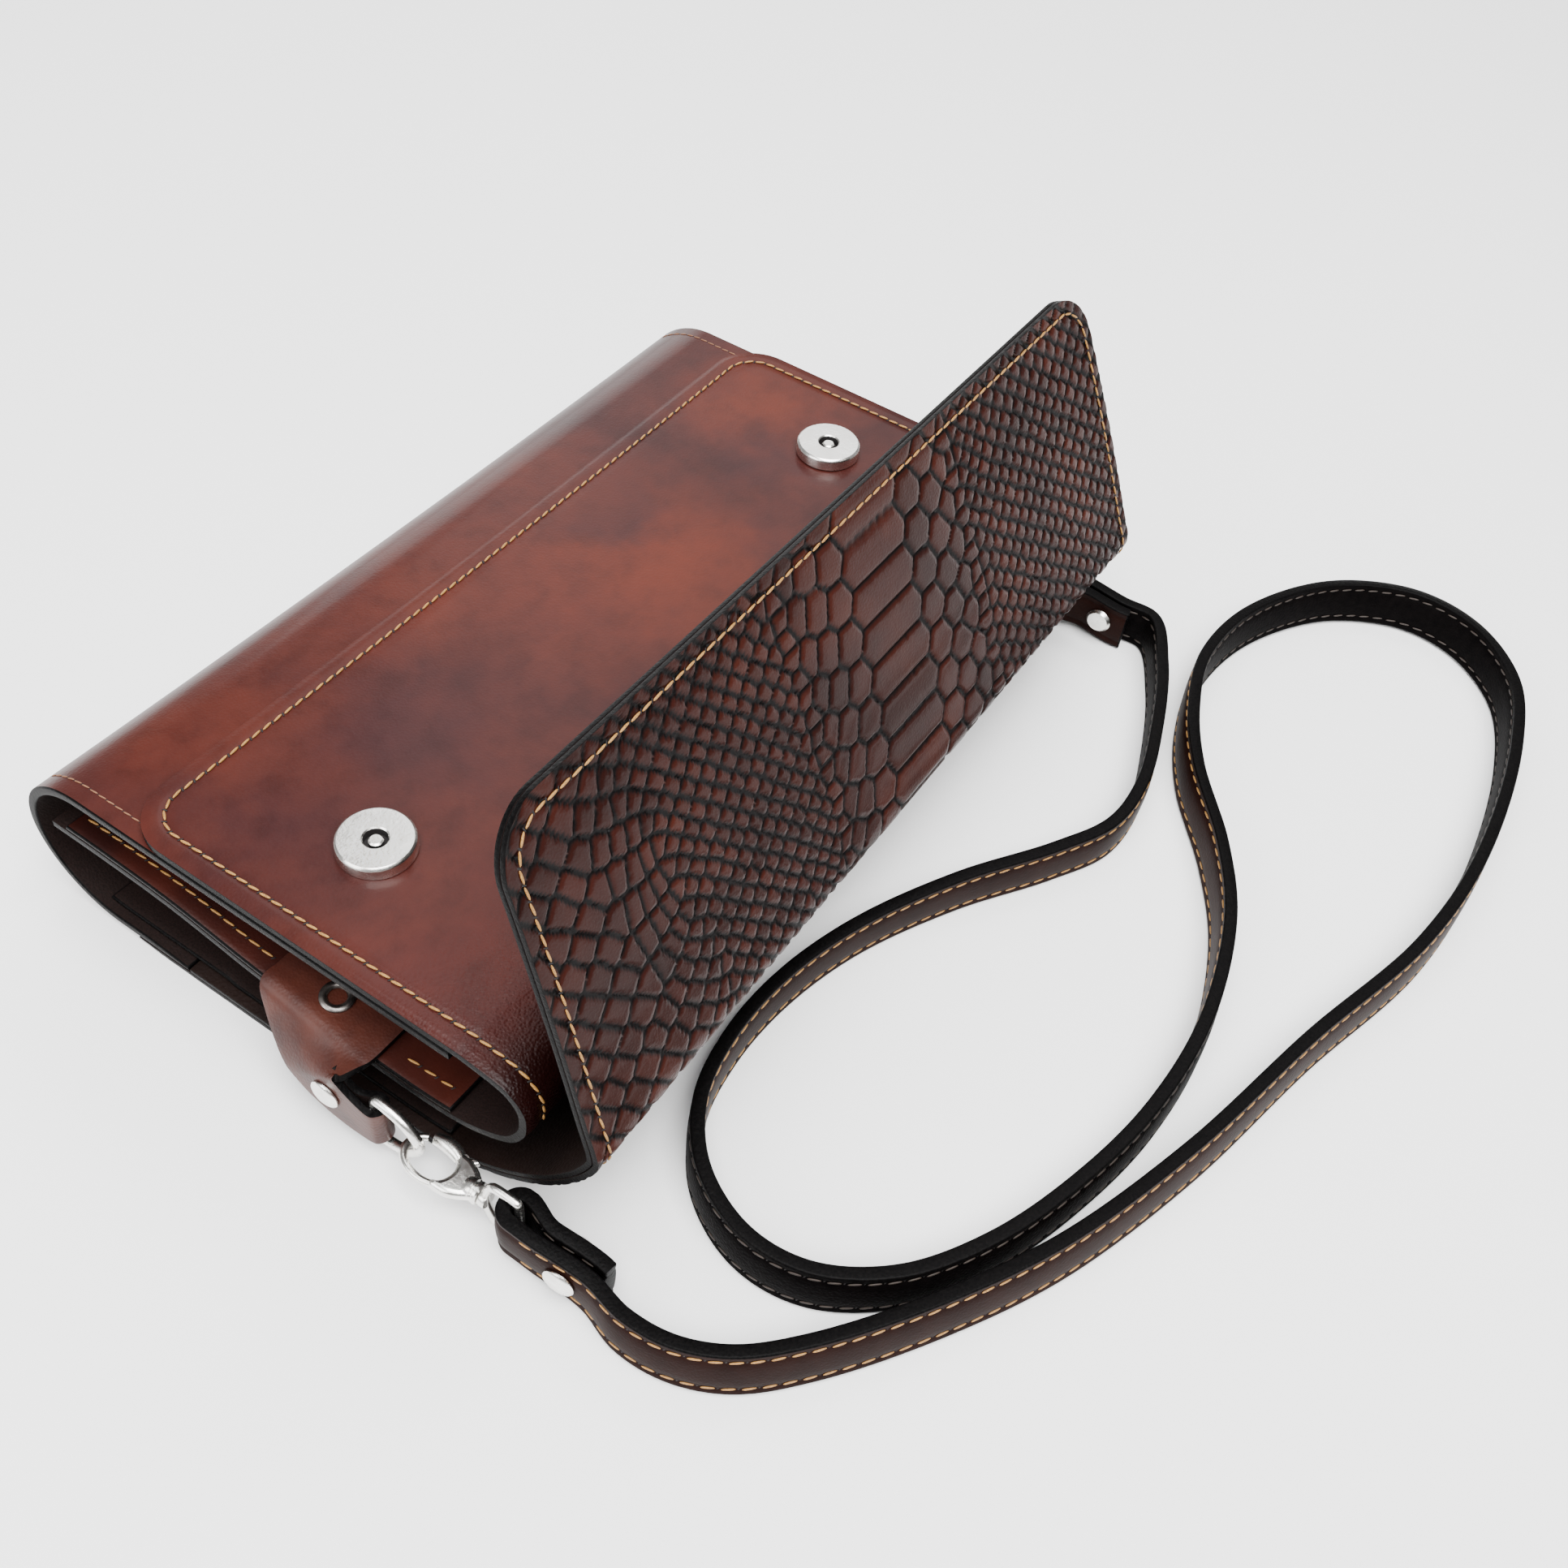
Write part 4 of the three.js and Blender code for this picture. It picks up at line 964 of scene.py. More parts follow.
# Magnets.
# Nickel-plated discs with a bevelled rim and a hole for the stud; their other halves sit inside
# the flap. Each is turned from one profile.
nickel, nodes, links, shader = new_finish("nickel", Metallic=1.0)
wear = clouded(
    nodes, links, shader, [(0.35, (0.76, 0.742, 0.705)), (0.65, (0.93, 0.918, 0.885))],
    Scale=260.0, Detail=6.0, Roughness=0.7,
)
rough = add_node(nodes, "ShaderNodeMapRange", **{"To Min": 0.16, "To Max": 0.36})
links.new(wear.outputs[0], rough.inputs[0])
links.new(rough.outputs[0], shader.inputs["Roughness"])
scratches = noise_on(nodes, links, Scale=1100.0, Detail=4.0, Roughness=0.65)
add_bump(nodes, links, shader, scratches, 0.14, 0.0003)


def turned(name, profile, finish, steps=48):
    """Spins a profile of (radius, height) round Z."""
    mesh = bpy.data.meshes.new(name)
    mesh.from_pydata([(r, 0, z) for r, z in profile], [(i, i + 1) for i in range(len(profile) - 1)], [])
    piece = bpy.data.objects.new(name, mesh)
    bpy.context.collection.objects.link(piece)
    spin = piece.modifiers.new("spin", "SCREW")
    spin.steps = steps
    spin.render_steps = steps
    spin.use_merge_vertices = True
    spin.merge_threshold = 1e-6
    apply_modifiers(piece)
    bpy.ops.object.mode_set(mode="EDIT")
    bpy.ops.mesh.select_all(action="SELECT")
    bpy.ops.mesh.remove_doubles(threshold=1e-6)
    bpy.ops.mesh.normals_make_consistent(inside=False)
    bpy.ops.object.mode_set(mode="OBJECT")
    bpy.ops.object.shade_smooth_by_angle(angle=math.radians(35))
    piece.data.materials.append(finish)
    return piece


def put(piece, place, axis):
    """Turns the piece's Z to the axis and moves it to its place, in its mesh."""
    turn = Vector((0, 0, 1)).rotation_difference(Vector(axis)).to_matrix().to_4x4()
    piece.data.transform(Matrix.Translation(Vector(place)) @ turn)


magnet_radius = 0.009
magnet_tall = 0.0033
magnet_hole = 0.0028
for end in ("near", "far"):
    low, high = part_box(f"magnet_{end}")
    middle = (low + high) / 2
    magnet = turned(
        f"magnet_disc_{end}",
        [
            (0, 0), (magnet_radius, 0), (magnet_radius, magnet_tall - 0.0008),
            (magnet_radius - 0.0002, magnet_tall - 0.00035), (magnet_radius - 0.0007, magnet_tall),
            (magnet_hole + 0.0003, magnet_tall), (magnet_hole, magnet_tall - 0.0003),
            (magnet_hole, magnet_tall * 0.3), (0.0017, magnet_tall * 0.3), (0.0017, magnet_tall - 0.0008),
            (0.0013, magnet_tall - 0.0005), (0, magnet_tall - 0.0005),
        ],
        nickel, 64,
    )
    # The faces down in the hole round the stud get the near-black hole finish: painted shade in the recess.
    magnet.data.materials.append(hole_shade)
    for polygon in magnet.data.polygons:
        away = math.hypot(polygon.center.x, polygon.center.y)
        inside_hole = 0.0016 < away < magnet_hole + 0.0001
        polygon.material_index = int(inside_hole and polygon.center.z < magnet_tall - 0.0004)
    put(magnet, (middle.x, middle.y, low.z), (0, 0, 1))
    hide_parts(f"magnet_{end}")
    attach(magnet, "bag")

    mate = turned(
        f"flap_magnet_disc_{end}",
        [
            (0, 0), (magnet_radius, 0), (magnet_radius, 0.001), (magnet_radius - 0.0006, 0.0016),
            (0.0017, 0.0016), (0.0017, 0.0034), (0.0011, 0.004), (0, 0.004),
        ],
        nickel, 64,
    )
    seat = cut_length - 0.016
    inward = -ply.outward(np.array(seat))
    place = ply.flat_point(np.array(seat)) + inward * (ply_wall + 2 * seam_gap + lining_wall)
    put(mate, (middle.x, place[0], place[1]), (0, inward[0], inward[1]))
    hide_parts(f"flap_magnet_{end}")
    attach(mate, "bag")


# Tabs.
# A leather tab is riveted to the gusset's flange, bends over its edge, tapers down to the D-ring,
# folds round it and comes back behind itself under the rivet.
tab_width = 0.032
tab_wall = 0.0016
ring_low, ring_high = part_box("d_ring_far")
ring_x = (ring_low.x + ring_high.x) / 2
ring_wire = ring_high.x - ring_low.x
ring_z = (ring_low.z + ring_high.z) / 2
ring_y = ring_high.y - ring_wire / 2
tab_y = -0.0072


def flange_top(y):
    return float(height_along(divider_top, y)) + seam_gap + gusset_wall


tab_z = flange_top(tab_y) + 2 * seam_gap + tab_wall / 2
tab_slope = (flange_top(tab_y + tab_width / 2) - flange_top(tab_y - tab_width / 2)) / tab_width
root_turn = -math.degrees(math.atan(tab_slope))
leg_x = ring_x + ring_wire / 2 + seam_gap + tab_wall / 2
inner_x = leg_x - tab_wall - seam_gap
cap_y = ring_y + 0.0115
cap_z = ring_z + 0.003
drop = tab_z - ring_z
tab_rows = [
    (body_half - 0.0105, tab_y, tab_z, 1, root_turn),
    (body_half - 0.004, tab_y, tab_z, 1, root_turn),
    (body_half + 0.0009, tab_y, tab_z, 0.99, root_turn),
    (body_half + 0.0037, tab_y - 0.0014, tab_z - 0.18 * drop, 0.86, 4),
    (leg_x - 0.0008, tab_y - 0.0044, tab_z - 0.46 * drop, 0.64, 26),
    (leg_x, cap_y + 0.003, cap_z + 0.0024, 0.54, 44),
    (leg_x, cap_y, cap_z, 0.51, 58),
    (leg_x, cap_y - 0.005, ring_z + 0.001, 0.45, 76),
    (leg_x, ring_y, ring_z, 0.36, 90),
]
for angle in (45, 90, 135):
    out = leg_x - ring_x
    a = math.radians(angle)
    tab_rows.append((ring_x + out * math.cos(a), ring_y - out * math.sin(a), ring_z, 0.36, 90))
tab_rows += [
    (2 * ring_x - leg_x, ring_y + 0.0005, ring_z, 0.36, 90),
    (inner_x - 0.0009, ring_y + 0.0032, ring_z + 0.0003, 0.41, 87),
    (inner_x, cap_y - 0.005, ring_z + 0.001, 0.44, 76),
    (inner_x, cap_y, cap_z, 0.52, 58),
    (inner_x - 0.0003, cap_y + 0.0035, cap_z + 0.0023, 0.5, 52),
]
tab_line = np.array(spline_through(tab_rows, 7))
tab_leather, nodes, links, shader = new_finish(
    "tab_leather", **{"Coat Weight": 0.1, "Coat Roughness": 0.3, "Specular IOR Level": 0.2, "Roughness": 0.45}
)
clouded(
    nodes, links, shader, [(0.35, (0.028, 0.0075, 0.0055)), (0.65, (0.055, 0.0135, 0.0078))],
    Scale=90.0, Detail=4.0,
)
add_grain(nodes, links, shader, 1500.0, 0.2, 0.0003)
tab_columns = 13
for end, side in (("near", -1), ("far", 1)):
    centre = tab_line[:, :3] * [side, 1, 1]
    angle = np.radians(tab_line[:, 4])
    across = np.stack([0 * angle, np.cos(angle), -np.sin(angle)], -1)
    tab, column, row = new_grid(f"tab_leather_{end}", tab_columns, len(centre))
    share = (0.5 - column / (tab_columns - 1)) * side * tab_line[row, 3]
    set_places(tab, centre[row] + across[row] * share[:, None] * tab_width)
    give_wall(tab, tab_wall, tab_leather, edge_paint, flesh_side)
    solid = places_of(tab)
    face, back = np.split(solid, 2)
    set_places(tab, solid + np.tile((face - back) / 2, (2, 1)))
    round_edges(tab, 0.0005)
    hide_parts(f"tab_{end}")
    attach(tab, "bag")


# Rivets and eyelets.
# Nickel caps hold the tabs and the strap's folds. A small dark metal eyelet sits at each tab's root.
cap_radius = 0.0038
cap_tall = 0.0012
post_radius = 0.0012


def rivet(name, grip, lower):
    return turned(
        name,
        [
            (0, -grip - seam_gap - cap_tall * 0.8), (lower * cap_radius * 0.8, -grip - seam_gap - cap_tall * 0.7),
            (lower * cap_radius, -grip - seam_gap), (post_radius, -grip - seam_gap), (post_radius, 0),
            (cap_radius, 0), (cap_radius, cap_tall * 0.25), (cap_radius * 0.94, cap_tall * 0.5),
            (cap_radius * 0.75, cap_tall * 0.78), (cap_radius * 0.45, cap_tall * 0.94), (0, cap_tall),
        ],
        nickel,
    )


# A dark grey metal, much darker than the nickel.
dark_metal, nodes, links, shader = new_finish("dark_metal", Metallic=1.0, Roughness=0.35)
clouded(
    nodes, links, shader, [(0.3, (0.10, 0.09, 0.085)), (0.7, (0.30, 0.28, 0.26))], Scale=500.0, Detail=4.0
)
eyelet_radius = 0.004
for end, side in (("near", -1), ("far", 1)):
    grip = leg_x - inner_x + tab_wall + seam_gap
    piece = rivet(f"tab_rivet_cap_{end}", grip, 0.8)
    put(piece, (side * (leg_x + tab_wall / 2 + seam_gap), cap_y, cap_z), (side, 0, 0))
    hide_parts(f"tab_rivet_{end}")
    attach(piece, "bag")
    ring = turned(
        f"tab_eyelet_ring_{end}",
        [
            (eyelet_radius, 0), (eyelet_radius, 0.0004), (eyelet_radius * 0.93, 0.0007),
            (eyelet_radius * 0.8, 0.0009), (eyelet_radius * 0.66, 0.0008), (eyelet_radius * 0.55, 0.0004), (eyelet_radius * 0.52, 0),
            (eyelet_radius, 0),
        ],
        dark_metal,
    )
    tilt = Vector((0, -tab_slope, 1)).normalized()
    put(ring, (side * (body_half - 0.0056), tab_y, tab_z + tab_wall / 2 + seam_gap), tilt)
    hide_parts(f"tab_eyelet_{end}")
    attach(ring, "bag")


# D-rings.
# Nickel wire bent to a D, with its straight bar in the tab's fold and its bow towards the clasp.
def curve_piece(name, points, closed, finish, smooth, thin=None, **settings):
    """A run of points made into a tube or a plate, as the curve's settings say."""
    curve = bpy.data.curves.new(name, "CURVE")
    for setting, value in settings.items():
        setattr(curve, setting, value)
    spline = curve.splines.new("POLY")
    spline.points.add(len(points) - 1)
    for place, point in zip(spline.points, points):
        place.co = (*point, 1)
    if thin is not None:
        for place, share in zip(spline.points, thin):
            place.radius = share
    spline.use_cyclic_u = closed
    piece = bpy.data.objects.new(name, curve)
    bpy.context.collection.objects.link(piece)
    only(piece)
    bpy.ops.object.convert(target="MESH")
    bpy.ops.object.shade_smooth_by_angle(angle=math.radians(smooth))
    piece = bpy.context.object
    piece.data.materials.clear()
    piece.data.materials.append(finish)
    return piece


def wire_piece(name, points, wire, closed, finish, thin=None):
    """Wire along points, smoothed into a tube."""
    return curve_piece(
        name, points, closed, finish, 60, thin,
        dimensions="3D", bevel_depth=wire / 2, bevel_resolution=4, use_fill_caps=True,
    )


def closed_spline(points, steps=10):
    count = len(points)
    points = [np.array(p, float) for p in points]
    run = []
    for i in range(count):
        before, a, b, after = (points[(i + k) % count] for k in (-1, 0, 1, 2))
        for k in range(steps):
            t = k / steps
            run.append(
                0.5 * (2 * a + (b - before) * t + (2 * before - 5 * a + 4 * b - after) * t**2
                       + (3 * a - before - 3 * b + after) * t**3)
            )
    return run


def wire_outline(outline, height, reach, wire):
    half, run = (height - wire) / 2, reach - wire
    upper = [(0, -out * run, up * half) for out, up in outline]
    lower = [(0, -out * run, -up * half) for out, up in outline[1:-1]]
    return closed_spline(upper + lower[::-1])


ring_outline = [(0, 0), (0, 0.6), (0.015, 0.9), (0.1, 1), (0.4, 0.95), (0.75, 0.7), (0.95, 0.3), (1, 0)]
ring_height = ring_high.z - ring_low.z
ring_reach = ring_high.y - ring_low.y
for end, side in (("near", -1), ("far", 1)):
    outline = wire_outline(ring_outline, ring_height, ring_reach, ring_wire)
    points = [p + [side * ring_x, ring_y, ring_z] for p in outline]
    ring = wire_piece(f"d_ring_wire_{end}", points, ring_wire, True, nickel)
    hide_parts(f"d_ring_{end}")
    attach(ring, "bag")


# Snap clasps.
# A cast hook lies flat with the D-ring through it. Its polished lever is the gate, its barrel turns
# on the eye's post, and the eye's wire stands upright in the strap's fold.
hook_length = 0.0215
eye_low, eye_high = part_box("clasp_eye_near")
eye_height = eye_high.z - eye_low.z
eye_wire = 0.0021
hook_z = (eye_low.z + eye_high.z) / 2
hook_base = ring_y - (0.012 - ring_wire) / 2 - ring_wire - hook_length
eye_reach = 0.0115
eye_y = hook_base - seam_gap - 0.0009 - eye_reach + eye_wire
oval_middle = 0.01345
oval_width = 0.0047
oval_reach = 0.0071


def oval(angles):
    return [(oval_width * math.cos(a), oval_middle + oval_reach * math.sin(a), 0) for a in angles]


def cast_plate(name, outline, thick, rounding, finish):
    """A flat casting from its outline, with full round edges."""
    return curve_piece(
        name, [(u, v, 0) for u, v in outline], True, finish, 50, dimensions="2D", fill_mode="BOTH",
        extrude=thick / 2 - rounding, bevel_depth=rounding, bevel_resolution=3, offset=-rounding,
    )


def joined(name, pieces):
    bpy.ops.object.select_all(action="DESELECT")
    for piece in pieces:
        piece.select_set(True)
    bpy.context.view_layer.objects.active = pieces[0]
    bpy.ops.object.join()
    pieces[0].name = name
    return pieces[0]


def wedge_outline():
    right = [
        (0.0017, 0.0008), (0.0028, 0.0022), (0.0039, 0.0040), (0.0048, 0.0062), (0.0050, 0.0084),
        (0.0049, 0.0102), (0.0036, 0.0106), (0.0029, 0.0094), (0.0016, 0.0084), (0, 0.0080),
    ]
    return right + [(-u, v) for u, v in reversed(right[:-1])]


def smooth_outline(points, steps=5):
    return [tuple(p[:2]) for p in closed_spline(points, steps)]


def hook_pieces(gate_open):
    barrel = turned(
        "barrel",
        [
            (0, 0), (0.0022, 0), (0.0026, 0.0004), (0.0026, 0.0011), (0.0022, 0.0014), (0.0022, 0.0017),
            (0.0026, 0.002), (0.0026, 0.0031), (0.002, 0.0042), (0, 0.0044),
        ],
        nickel, 32,
    )
    put(barrel, (0, 0, 0), (0, 1, 0))
    wedge = cast_plate("wedge", smooth_outline(wedge_outline()), 0.0030, 0.0013, nickel)
    first = math.radians(38 if gate_open else -35)
    angles = np.linspace(first, math.radians(217), 46)
    swell = [0.88 + 0.2 * abs(math.cos(a - math.pi * 0.6)) for a in angles]
    arm = wire_piece("arm", oval(angles), 0.0018, False, nickel, swell)
    return [barrel, wedge, arm]


def gate_pieces():
    angles = np.linspace(math.radians(-42), math.radians(26), 20)
    swell = [1.0 + 0.3 * math.sin(math.pi * i / 19) for i in range(20)]
    lever = wire_piece("lever", oval(angles), 0.0028, False, nickel, swell)
    rim = [(0, -0.0011), (0.0013, -0.0011), (0.0015, -0.0008), (0.0015, 0.0008), (0.0013, 0.0011), (0, 0.0011)]
    knuckle = turned("knuckle", rim, nickel, 24)
    put(knuckle, (0.00363, 0.00796, 0), (0, 0, 1))
    thumb = [(0.0034, 0.009), (0.0054, 0.0062), (0.0050, 0.0048), (0.0031, 0.0070)]
    tail = cast_plate("tail", smooth_outline(thumb), 0.0016, 0.0004, nickel)
    return [lever, knuckle, tail]


def eye_pieces(height):
    outline = [(0, 0), (0, 0.6), (0.02, 0.92), (0.12, 1), (0.6, 1), (0.8, 0.85), (0.95, 0.4), (1, 0)]
    outline = wire_outline(outline, height, eye_reach, eye_wire)
    loop = [np.array([0, eye_y - hook_base - p[1], p[2]]) for p in outline]
    wire = wire_piece("eye_wire", loop, eye_wire, True, nickel)
    side_line = [(0, 0), (0.002, 0), (0.0021, 0.0003), (0.0021, 0.0015), (0.002, 0.0018), (0, 0.0018)]
    collar = turned("collar", side_line, nickel, 24)
    put(collar, (0, -seam_gap - 0.0018, 0), (0, 1, 0))
    return [wire, collar]


for name, pieces, node, side, body in (
    ("hook_casting_near", hook_pieces(True), "clasp_hook_near", -1, "clasp_body"),
    ("gate_lever_near", gate_pieces(), "clasp_gate_near", -1, "clasp_gate"),
    ("eye_loop_near", eye_pieces(eye_height), "clasp_eye_near", -1, "bag"),
    ("clasp_casting_far", hook_pieces(False) + eye_pieces(eye_height), "clasp_far", 1, "bag"),
):
    piece = joined(name, pieces)
    piece.data.transform(Matrix.Translation((side * ring_x, hook_base, hook_z)))
    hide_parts(node)
    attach(piece, body)


# Strap.
# Two plies of hide glued and sewn with two rows of gold thread, with black painted edges. It stands
# on edge on the table, and each end is folded round a clasp's eye and riveted.
strap_width = 0.013
strap_wall = 0.004
strap_tail = 0.022
strap_route = [
    (-1.07, -1.34, 3), (-1.085, -1.5, 8), (-1.075, -1.67, 10), (-1.03, -1.84, 12), (-0.935, -2.02, 12),
    (-0.75, -2.27, 12), (-0.53, -2.5, 12), (-0.22, -2.71, 11), (0.155, -2.89, 9), (0.52, -3.09, 7),
    (0.84, -3.15, 3), (1.245, -3.08, 0), (1.46, -2.945, -5), (1.585, -2.69, -10), (1.605, -2.4, -12),
    (1.5, -2.06, -12), (1.275, -1.81, -10), (1.045, -1.755, -4), (0.855, -1.85, 4), (0.695, -2.0, 8),
    (0.51, -2.255, 7), (0.33, -2.43, 3), (0.07, -2.54, -4), (-0.18, -2.535, -6), (-0.4, -2.45, -6),
    (-0.6, -2.31, -6), (-0.75, -2.12, -7), (-0.835, -1.88, -8), (-0.845, -1.64, -7), (-0.785, -1.4, -4),
    (-0.675, -1.245, 0), (-0.53, -1.185, 2), (-0.36, -1.195, 2), (-0.16, -1.29, 0), (0.07, -1.49, 0),
    (0.27, -1.725, 0), (0.41, -1.85, 1), (0.56, -1.855, 1), (0.74, -1.77, 0), (0.945, -1.625, -2),
    (1.085, -1.46, -3), (1.08, -1.3, -2),
]
fold_radius = eye_wire / 2 + seam_gap + strap_wall / 2
strap_ends = [np.array([side * (ring_x + fold_radius), eye_y, 0.0]) for side in (-1, 1)]


def centripetal(points, steps=16):
    """A smooth route through chosen points, without loops where they lie close together."""
    points = [np.array(p, float) for p in points]
    points = [2 * points[0] - points[1]] + points + [2 * points[-1] - points[-2]]
    run = []
    for p0, p1, p2, p3 in zip(points, points[1:], points[2:], points[3:]):
        pairs = ((p0, p1), (p1, p2), (p2, p3))
        t01, t12, t23 = (max(np.linalg.norm(b - a) ** 0.5, 1e-5) for a, b in pairs)
        slope_1 = ((p1 - p0) / t01 - (p2 - p0) / (t01 + t12) + (p2 - p1) / t12) * t12
        slope_2 = ((p2 - p1) / t12 - (p3 - p1) / (t12 + t23) + (p3 - p2) / t23) * t12
        for k in range(steps):
            t = k / steps
            run.append(
                (2 * p1 - 2 * p2 + slope_1 + slope_2) * t**3
                + (3 * p2 - 3 * p1 - 2 * slope_1 - slope_2) * t**2
                + slope_1 * t
                + p1
            )
    return np.array(run + [points[-2]])


lean_per_metre = 0.1
route = [strap_ends[0], strap_ends[0] - [0, 0.006, 0]]
for across, along, lean in strap_route:
    route.append(np.array([across * body_half, along * mouth_reach, lean * lean_per_metre / 1000]))
route += [strap_ends[1] - [0, 0.006, 0], strap_ends[1]]
way_points = centripetal(route)
walked = np.concatenate([[0], np.cumsum(np.linalg.norm(np.diff(way_points[:, :2], axis=0), axis=1))])
strap_length = walked[-1]
eye_lift = hook_z - strap_width / 2
lift_run = 0.026
fold_run = 0.0095
fold_rows = 14
band_rows = 640


def smooth_step(value, low, high):
    t = np.clip((value - low) / (high - low), 0, 1)
    return t * t * (3 - 2 * t)


def strap_place(distance):
    point = np.stack([np.interp(distance, walked, way_points[:, k]) for k in range(3)], -1)
    ahead = np.stack([np.interp(distance + 0.001, walked, way_points[:, k]) for k in range(2)], -1)
    behind = np.stack([np.interp(distance - 0.001, walked, way_points[:, k]) for k in range(2)], -1)
    way = ahead - behind
    way /= np.linalg.norm(way, axis=-1, keepdims=True)
    lean = np.radians(point[..., 2] * 1000 / lean_per_metre)
    from_end = np.minimum(distance, strap_length - distance)
    lift = eye_lift * (1 - smooth_step(from_end, 0, lift_run))
    return point[..., :2], way, lean, lift


def tail_place(from_end, at_start):
    point, way, lean, lift = strap_place(from_end if at_start else strap_length - from_end)
    left = np.stack([-way[..., 1], way[..., 0]], -1)
    spread_out = 2 * fold_radius - strap_wall - seam_gap
    gap = strap_wall + seam_gap + spread_out * (1 - smooth_step(from_end, 0, fold_run))
    return point + left * gap[..., None], -way, -lean, lift


def fold_place(side):
    angle = np.linspace(0, math.pi, fold_rows + 2)[1:-1]
    out = np.stack([np.cos(angle), np.sin(angle)], -1)
    point = np.array([side * ring_x, eye_y]) + out * fold_radius
    return point, np.stack([-out[:, 1], out[:, 0]], -1), 0 * angle, np.full(fold_rows, eye_lift)


near_tail = np.arange(strap_tail, 0, -0.0011)
band = np.linspace(0, strap_length, band_rows)
far_tail = np.arange(0.0001, strap_tail + 0.0001, 0.0011)
stretches = [
    tail_place(near_tail, True), fold_place(-1), strap_place(band), fold_place(1), tail_place(far_tail, False)
]
point, way, lean, lift = (np.concatenate([s[k] for s in stretches]) for k in range(4))
left = np.stack([-way[:, 1], way[:, 0], 0 * lean], -1)
rise = np.array([0, 0, 1.0])
up = left * np.sin(lean)[:, None] + rise * np.cos(lean)[:, None]
out = left * np.cos(lean)[:, None] - rise * np.sin(lean)[:, None]
top = strap_width * np.cos(lean) + strap_wall / 2 * np.abs(np.sin(lean)) + lift
upper_edge = np.concatenate([point, top[:, None]], 1)


def strap_point(row, down, off):
    """A place on the strap: row along it, down from its upper edge, off its middle to the left."""
    return upper_edge[row] - up[row] * np.asarray(down)[..., None] + out[row] * np.asarray(off)[..., None]


down_places = np.array([0, 0.0005, 0.0011, 0.0016, 0.002, 0.0024, 0.003, 0.0045, 0.0065])
down_places = np.concatenate([down_places, strap_width - down_places[-2::-1]])
seam_down = 0.002
strap, column, row = new_grid("strap_band", len(down_places), len(upper_edge))
down = down_places[column]
set_places(strap, strap_point(row, down, np.zeros(len(row))))

strap_face, nodes, links, shader = new_finish("strap_leather", Roughness=0.5, **{"Specular IOR Level": 0.04})
clouded(
    nodes, links, shader, [(0.3, (0.0078, 0.0026, 0.0019)), (0.7, (0.0135, 0.0048, 0.0035))],
    Scale=120.0, Detail=5.0, Roughness=0.6,
)
add_grain(nodes, links, shader, 1800.0, 0.14, 0.0003)
strap_back, nodes, links, shader = new_finish("strap_back", Roughness=0.6, **{"Specular IOR Level": 0.02})
clouded(
    nodes, links, shader, [(0.3, (0.0012, 0.0009, 0.0010)), (0.7, (0.0024, 0.0018, 0.0018))],
    Scale=420.0, Detail=4.0,
)
add_grain(nodes, links, shader, 1500.0, 0.35, 0.0003)
give_wall(strap, strap_wall, strap_face, edge_paint, strap_back)
face, back = np.split(places_of(strap), 2)
outer_sign = -1.0 if ((back - face) * out[row]).sum() > 0 else 1.0
from_seam = np.minimum(np.abs(down - seam_down), np.abs(strap_width - down - seam_down))
crown = 0.0003 * np.sin(np.pi * np.clip((down - seam_down) / (strap_width - 2 * seam_down), 0, 1))
groove = 0.0003 * np.exp(-((from_seam / 0.0006) ** 2))
half_wall = strap_wall / 2 - 0.0003 + crown - groove
sides = [strap_point(row, down, sign * outer_sign * half_wall) for sign in (1, -1)]
set_places(strap, np.concatenate(sides))
round_edges(strap, 0.0008)
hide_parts("strap")
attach(strap, "bag")

dark_thread, nodes, links, shader = new_finish("dark_thread", Roughness=0.6)
clouded(nodes, links, shader, [(0.3, (0.010, 0.006, 0.004)), (0.7, (0.026, 0.015, 0.009))], Scale=3000.0)
band_start = len(near_tail) + fold_rows
body_rows = np.arange(band_start + 2, band_start + band_rows - 2)
for face, sign, thread_finish in (("brown", -1, gold_thread), ("dark", 1, dark_thread)):
    for edge, place in (("upper", seam_down), ("lower", strap_width - seam_down)):
        for part, chosen in (("tail_near", np.arange(2, len(near_tail))), ("band", body_rows)):
            off = np.full(len(chosen), sign * (strap_wall / 2 - 0.0006))
            path = strap_point(chosen, np.full(len(chosen), place), off)
            sew(
                f"strap_seam_{face}_{edge}_{part}", path, out[chosen] * sign, "bag",
                pitch=0.0042, thread=0.00055, share=0.72, finish=thread_finish, sink=0.3,
            )

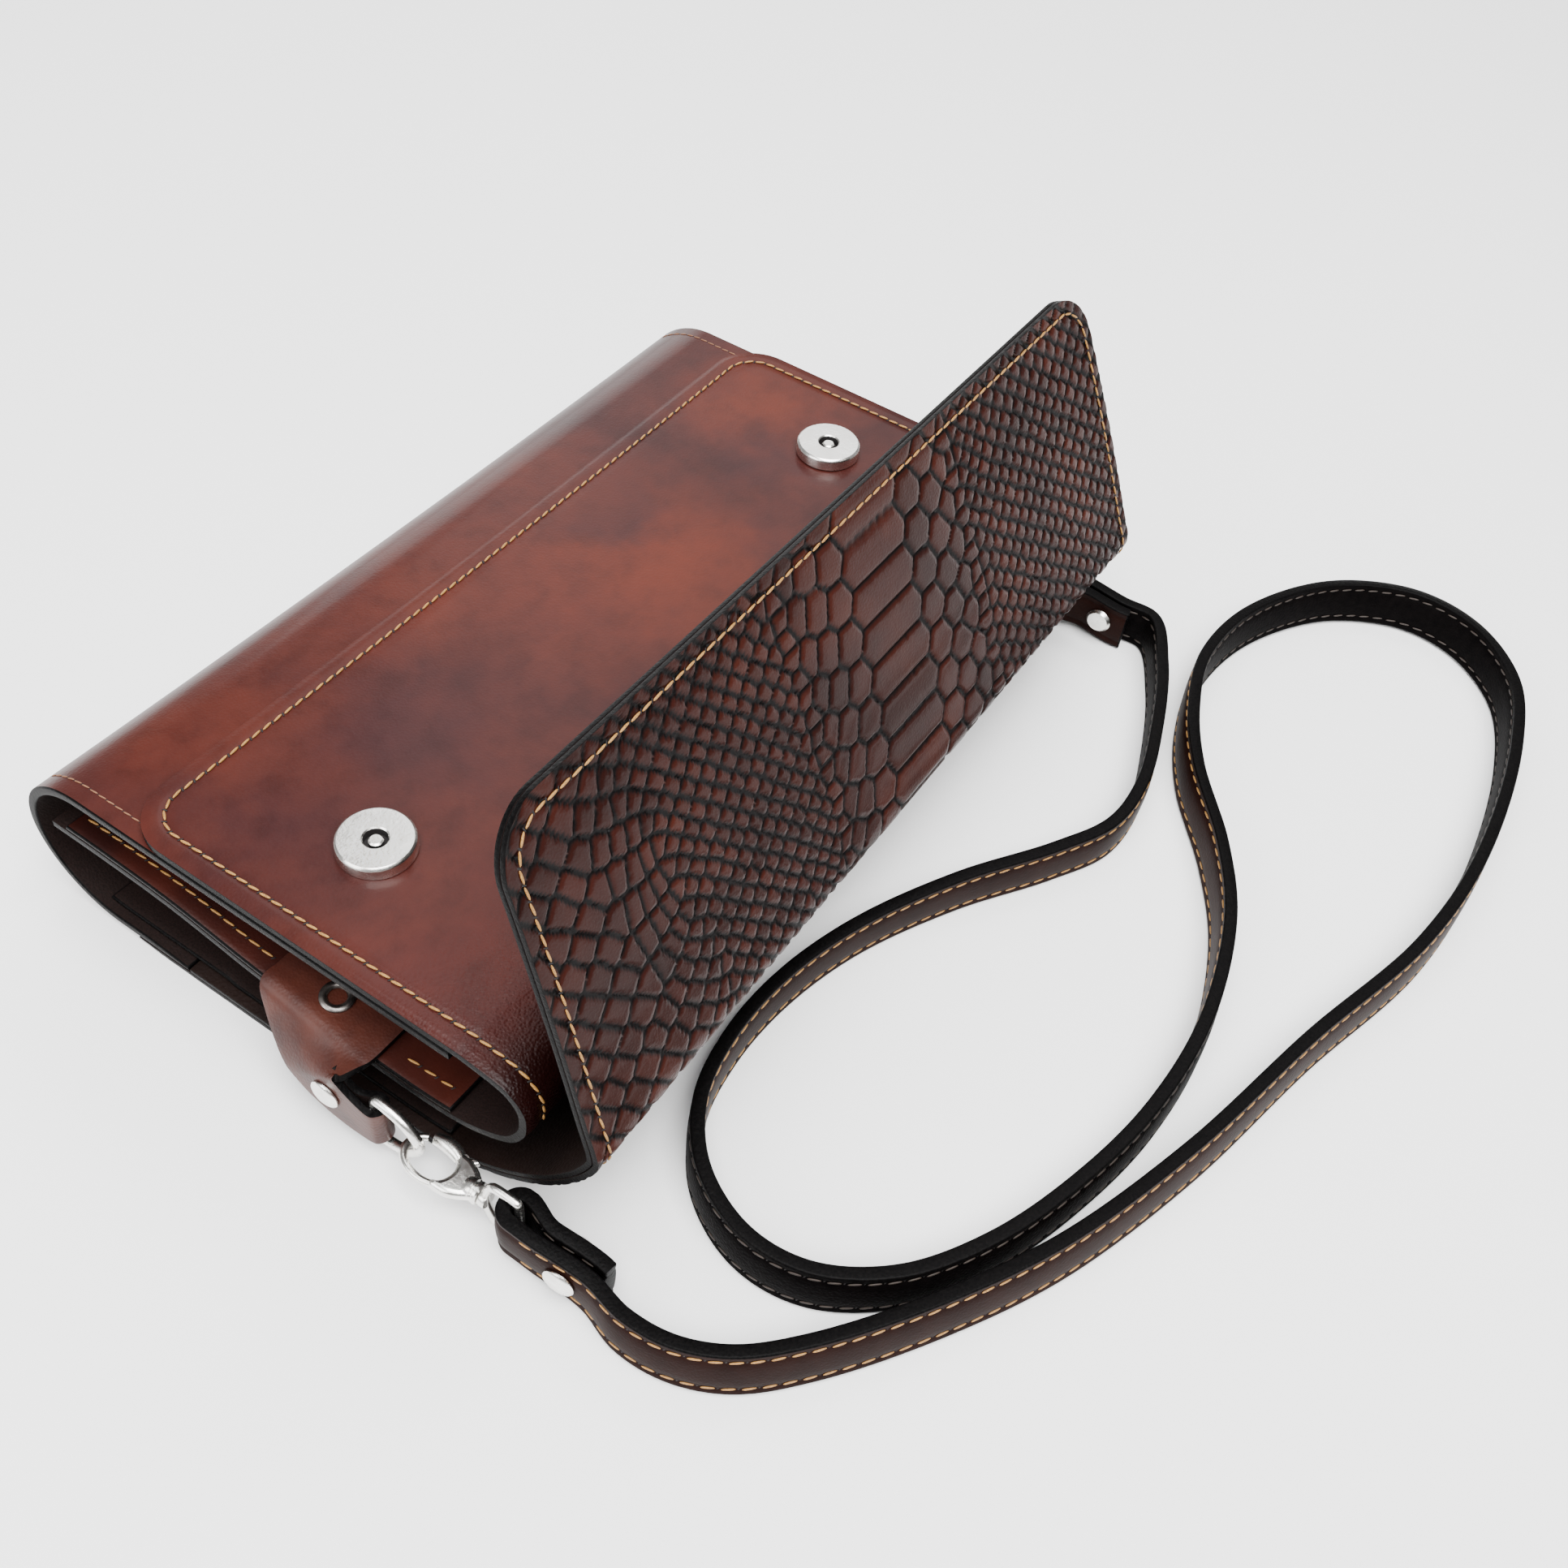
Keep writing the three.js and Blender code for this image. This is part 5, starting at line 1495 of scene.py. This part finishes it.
rivet_from_end = 0.014
for end, distance in (("near", rivet_from_end), ("far", strap_length - rivet_from_end)):
    point, way, lean, lift = strap_place(np.array([distance]))
    left = np.array([-way[0, 1], way[0, 0], 0])
    tilt = left * math.sin(lean[0]) + rise * math.cos(lean[0])
    outer = -(left * math.cos(lean[0]) - rise * math.sin(lean[0]))
    height = strap_width * math.cos(lean[0]) + strap_wall / 2 * abs(math.sin(lean[0])) + lift[0]
    seat = np.array([*point[0], height]) - tilt * strap_width / 2 + outer * (strap_wall / 2 + seam_gap)
    piece = rivet(f"strap_rivet_cap_{end}", 2 * strap_wall + 2 * seam_gap, 1.0)
    put(piece, seat, outer)
    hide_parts(f"strap_rivet_{end}")
    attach(piece, "bag")


# Floor and light.
# A white table in a dim studio. One broad soft light hangs over the near side, a second reaches the
# near end, and smaller ones beyond the bag draw the sheens on its folds, its lid and its metal.
bpy.ops.object.select_all(action="DESELECT")
bpy.ops.mesh.primitive_plane_add(size=8, location=(0, 0, -0.0002))
floor = bpy.context.object
floor.name = "floor"
floor_finish, nodes, links, shader = new_finish("floor", Roughness=0.8, **{"Specular IOR Level": 0.2})
shader.inputs["Base Color"].default_value = (0.93, 0.93, 0.93, 1)
floor.data.materials.append(floor_finish)

world = bpy.data.worlds.new("studio")
bpy.context.scene.world = world
world.use_nodes = True
world.node_tree.nodes["Background"].inputs["Color"].default_value = (1, 1, 1, 1)
world.node_tree.nodes["Background"].inputs["Strength"].default_value = 0.30


def soft_light(name, place, target, size, power):
    bpy.ops.object.select_all(action="DESELECT")
    bpy.ops.object.light_add(type="AREA", location=place)
    lamp = bpy.context.object
    lamp.name = name
    lamp.data.shape = "SQUARE"
    lamp.data.size = size
    lamp.data.energy = power
    lamp.rotation_euler = (Vector(target) - Vector(place)).to_track_quat("-Z", "Y").to_euler()


soft_light("overhead", (-0.35, -0.45, 1.45), (0.03, -0.05, 0), 1.3, 80.0)
soft_light("near_end", (-1.1, 0.35, 0.75), (-0.05, 0, 0.03), 0.8, 14.0)
soft_light("bottom_sheen", (0.95, 1.15, 0.42), (0, 0.05, 0.04), 0.7, 7.0)
soft_light("across", (0.94, 0.5, 1.2), (0.02, 0, 0.04), 0.9, 8.0)
soft_light("roll_sheen", (0.98, -0.25, 1.25), (0, -0.04, 0.04), 0.35, 4.0)
soft_light("clasp_sheen", (0.15, 0.33, 1.2), (-0.155, -0.07, 0.01), 0.34, 3.0)
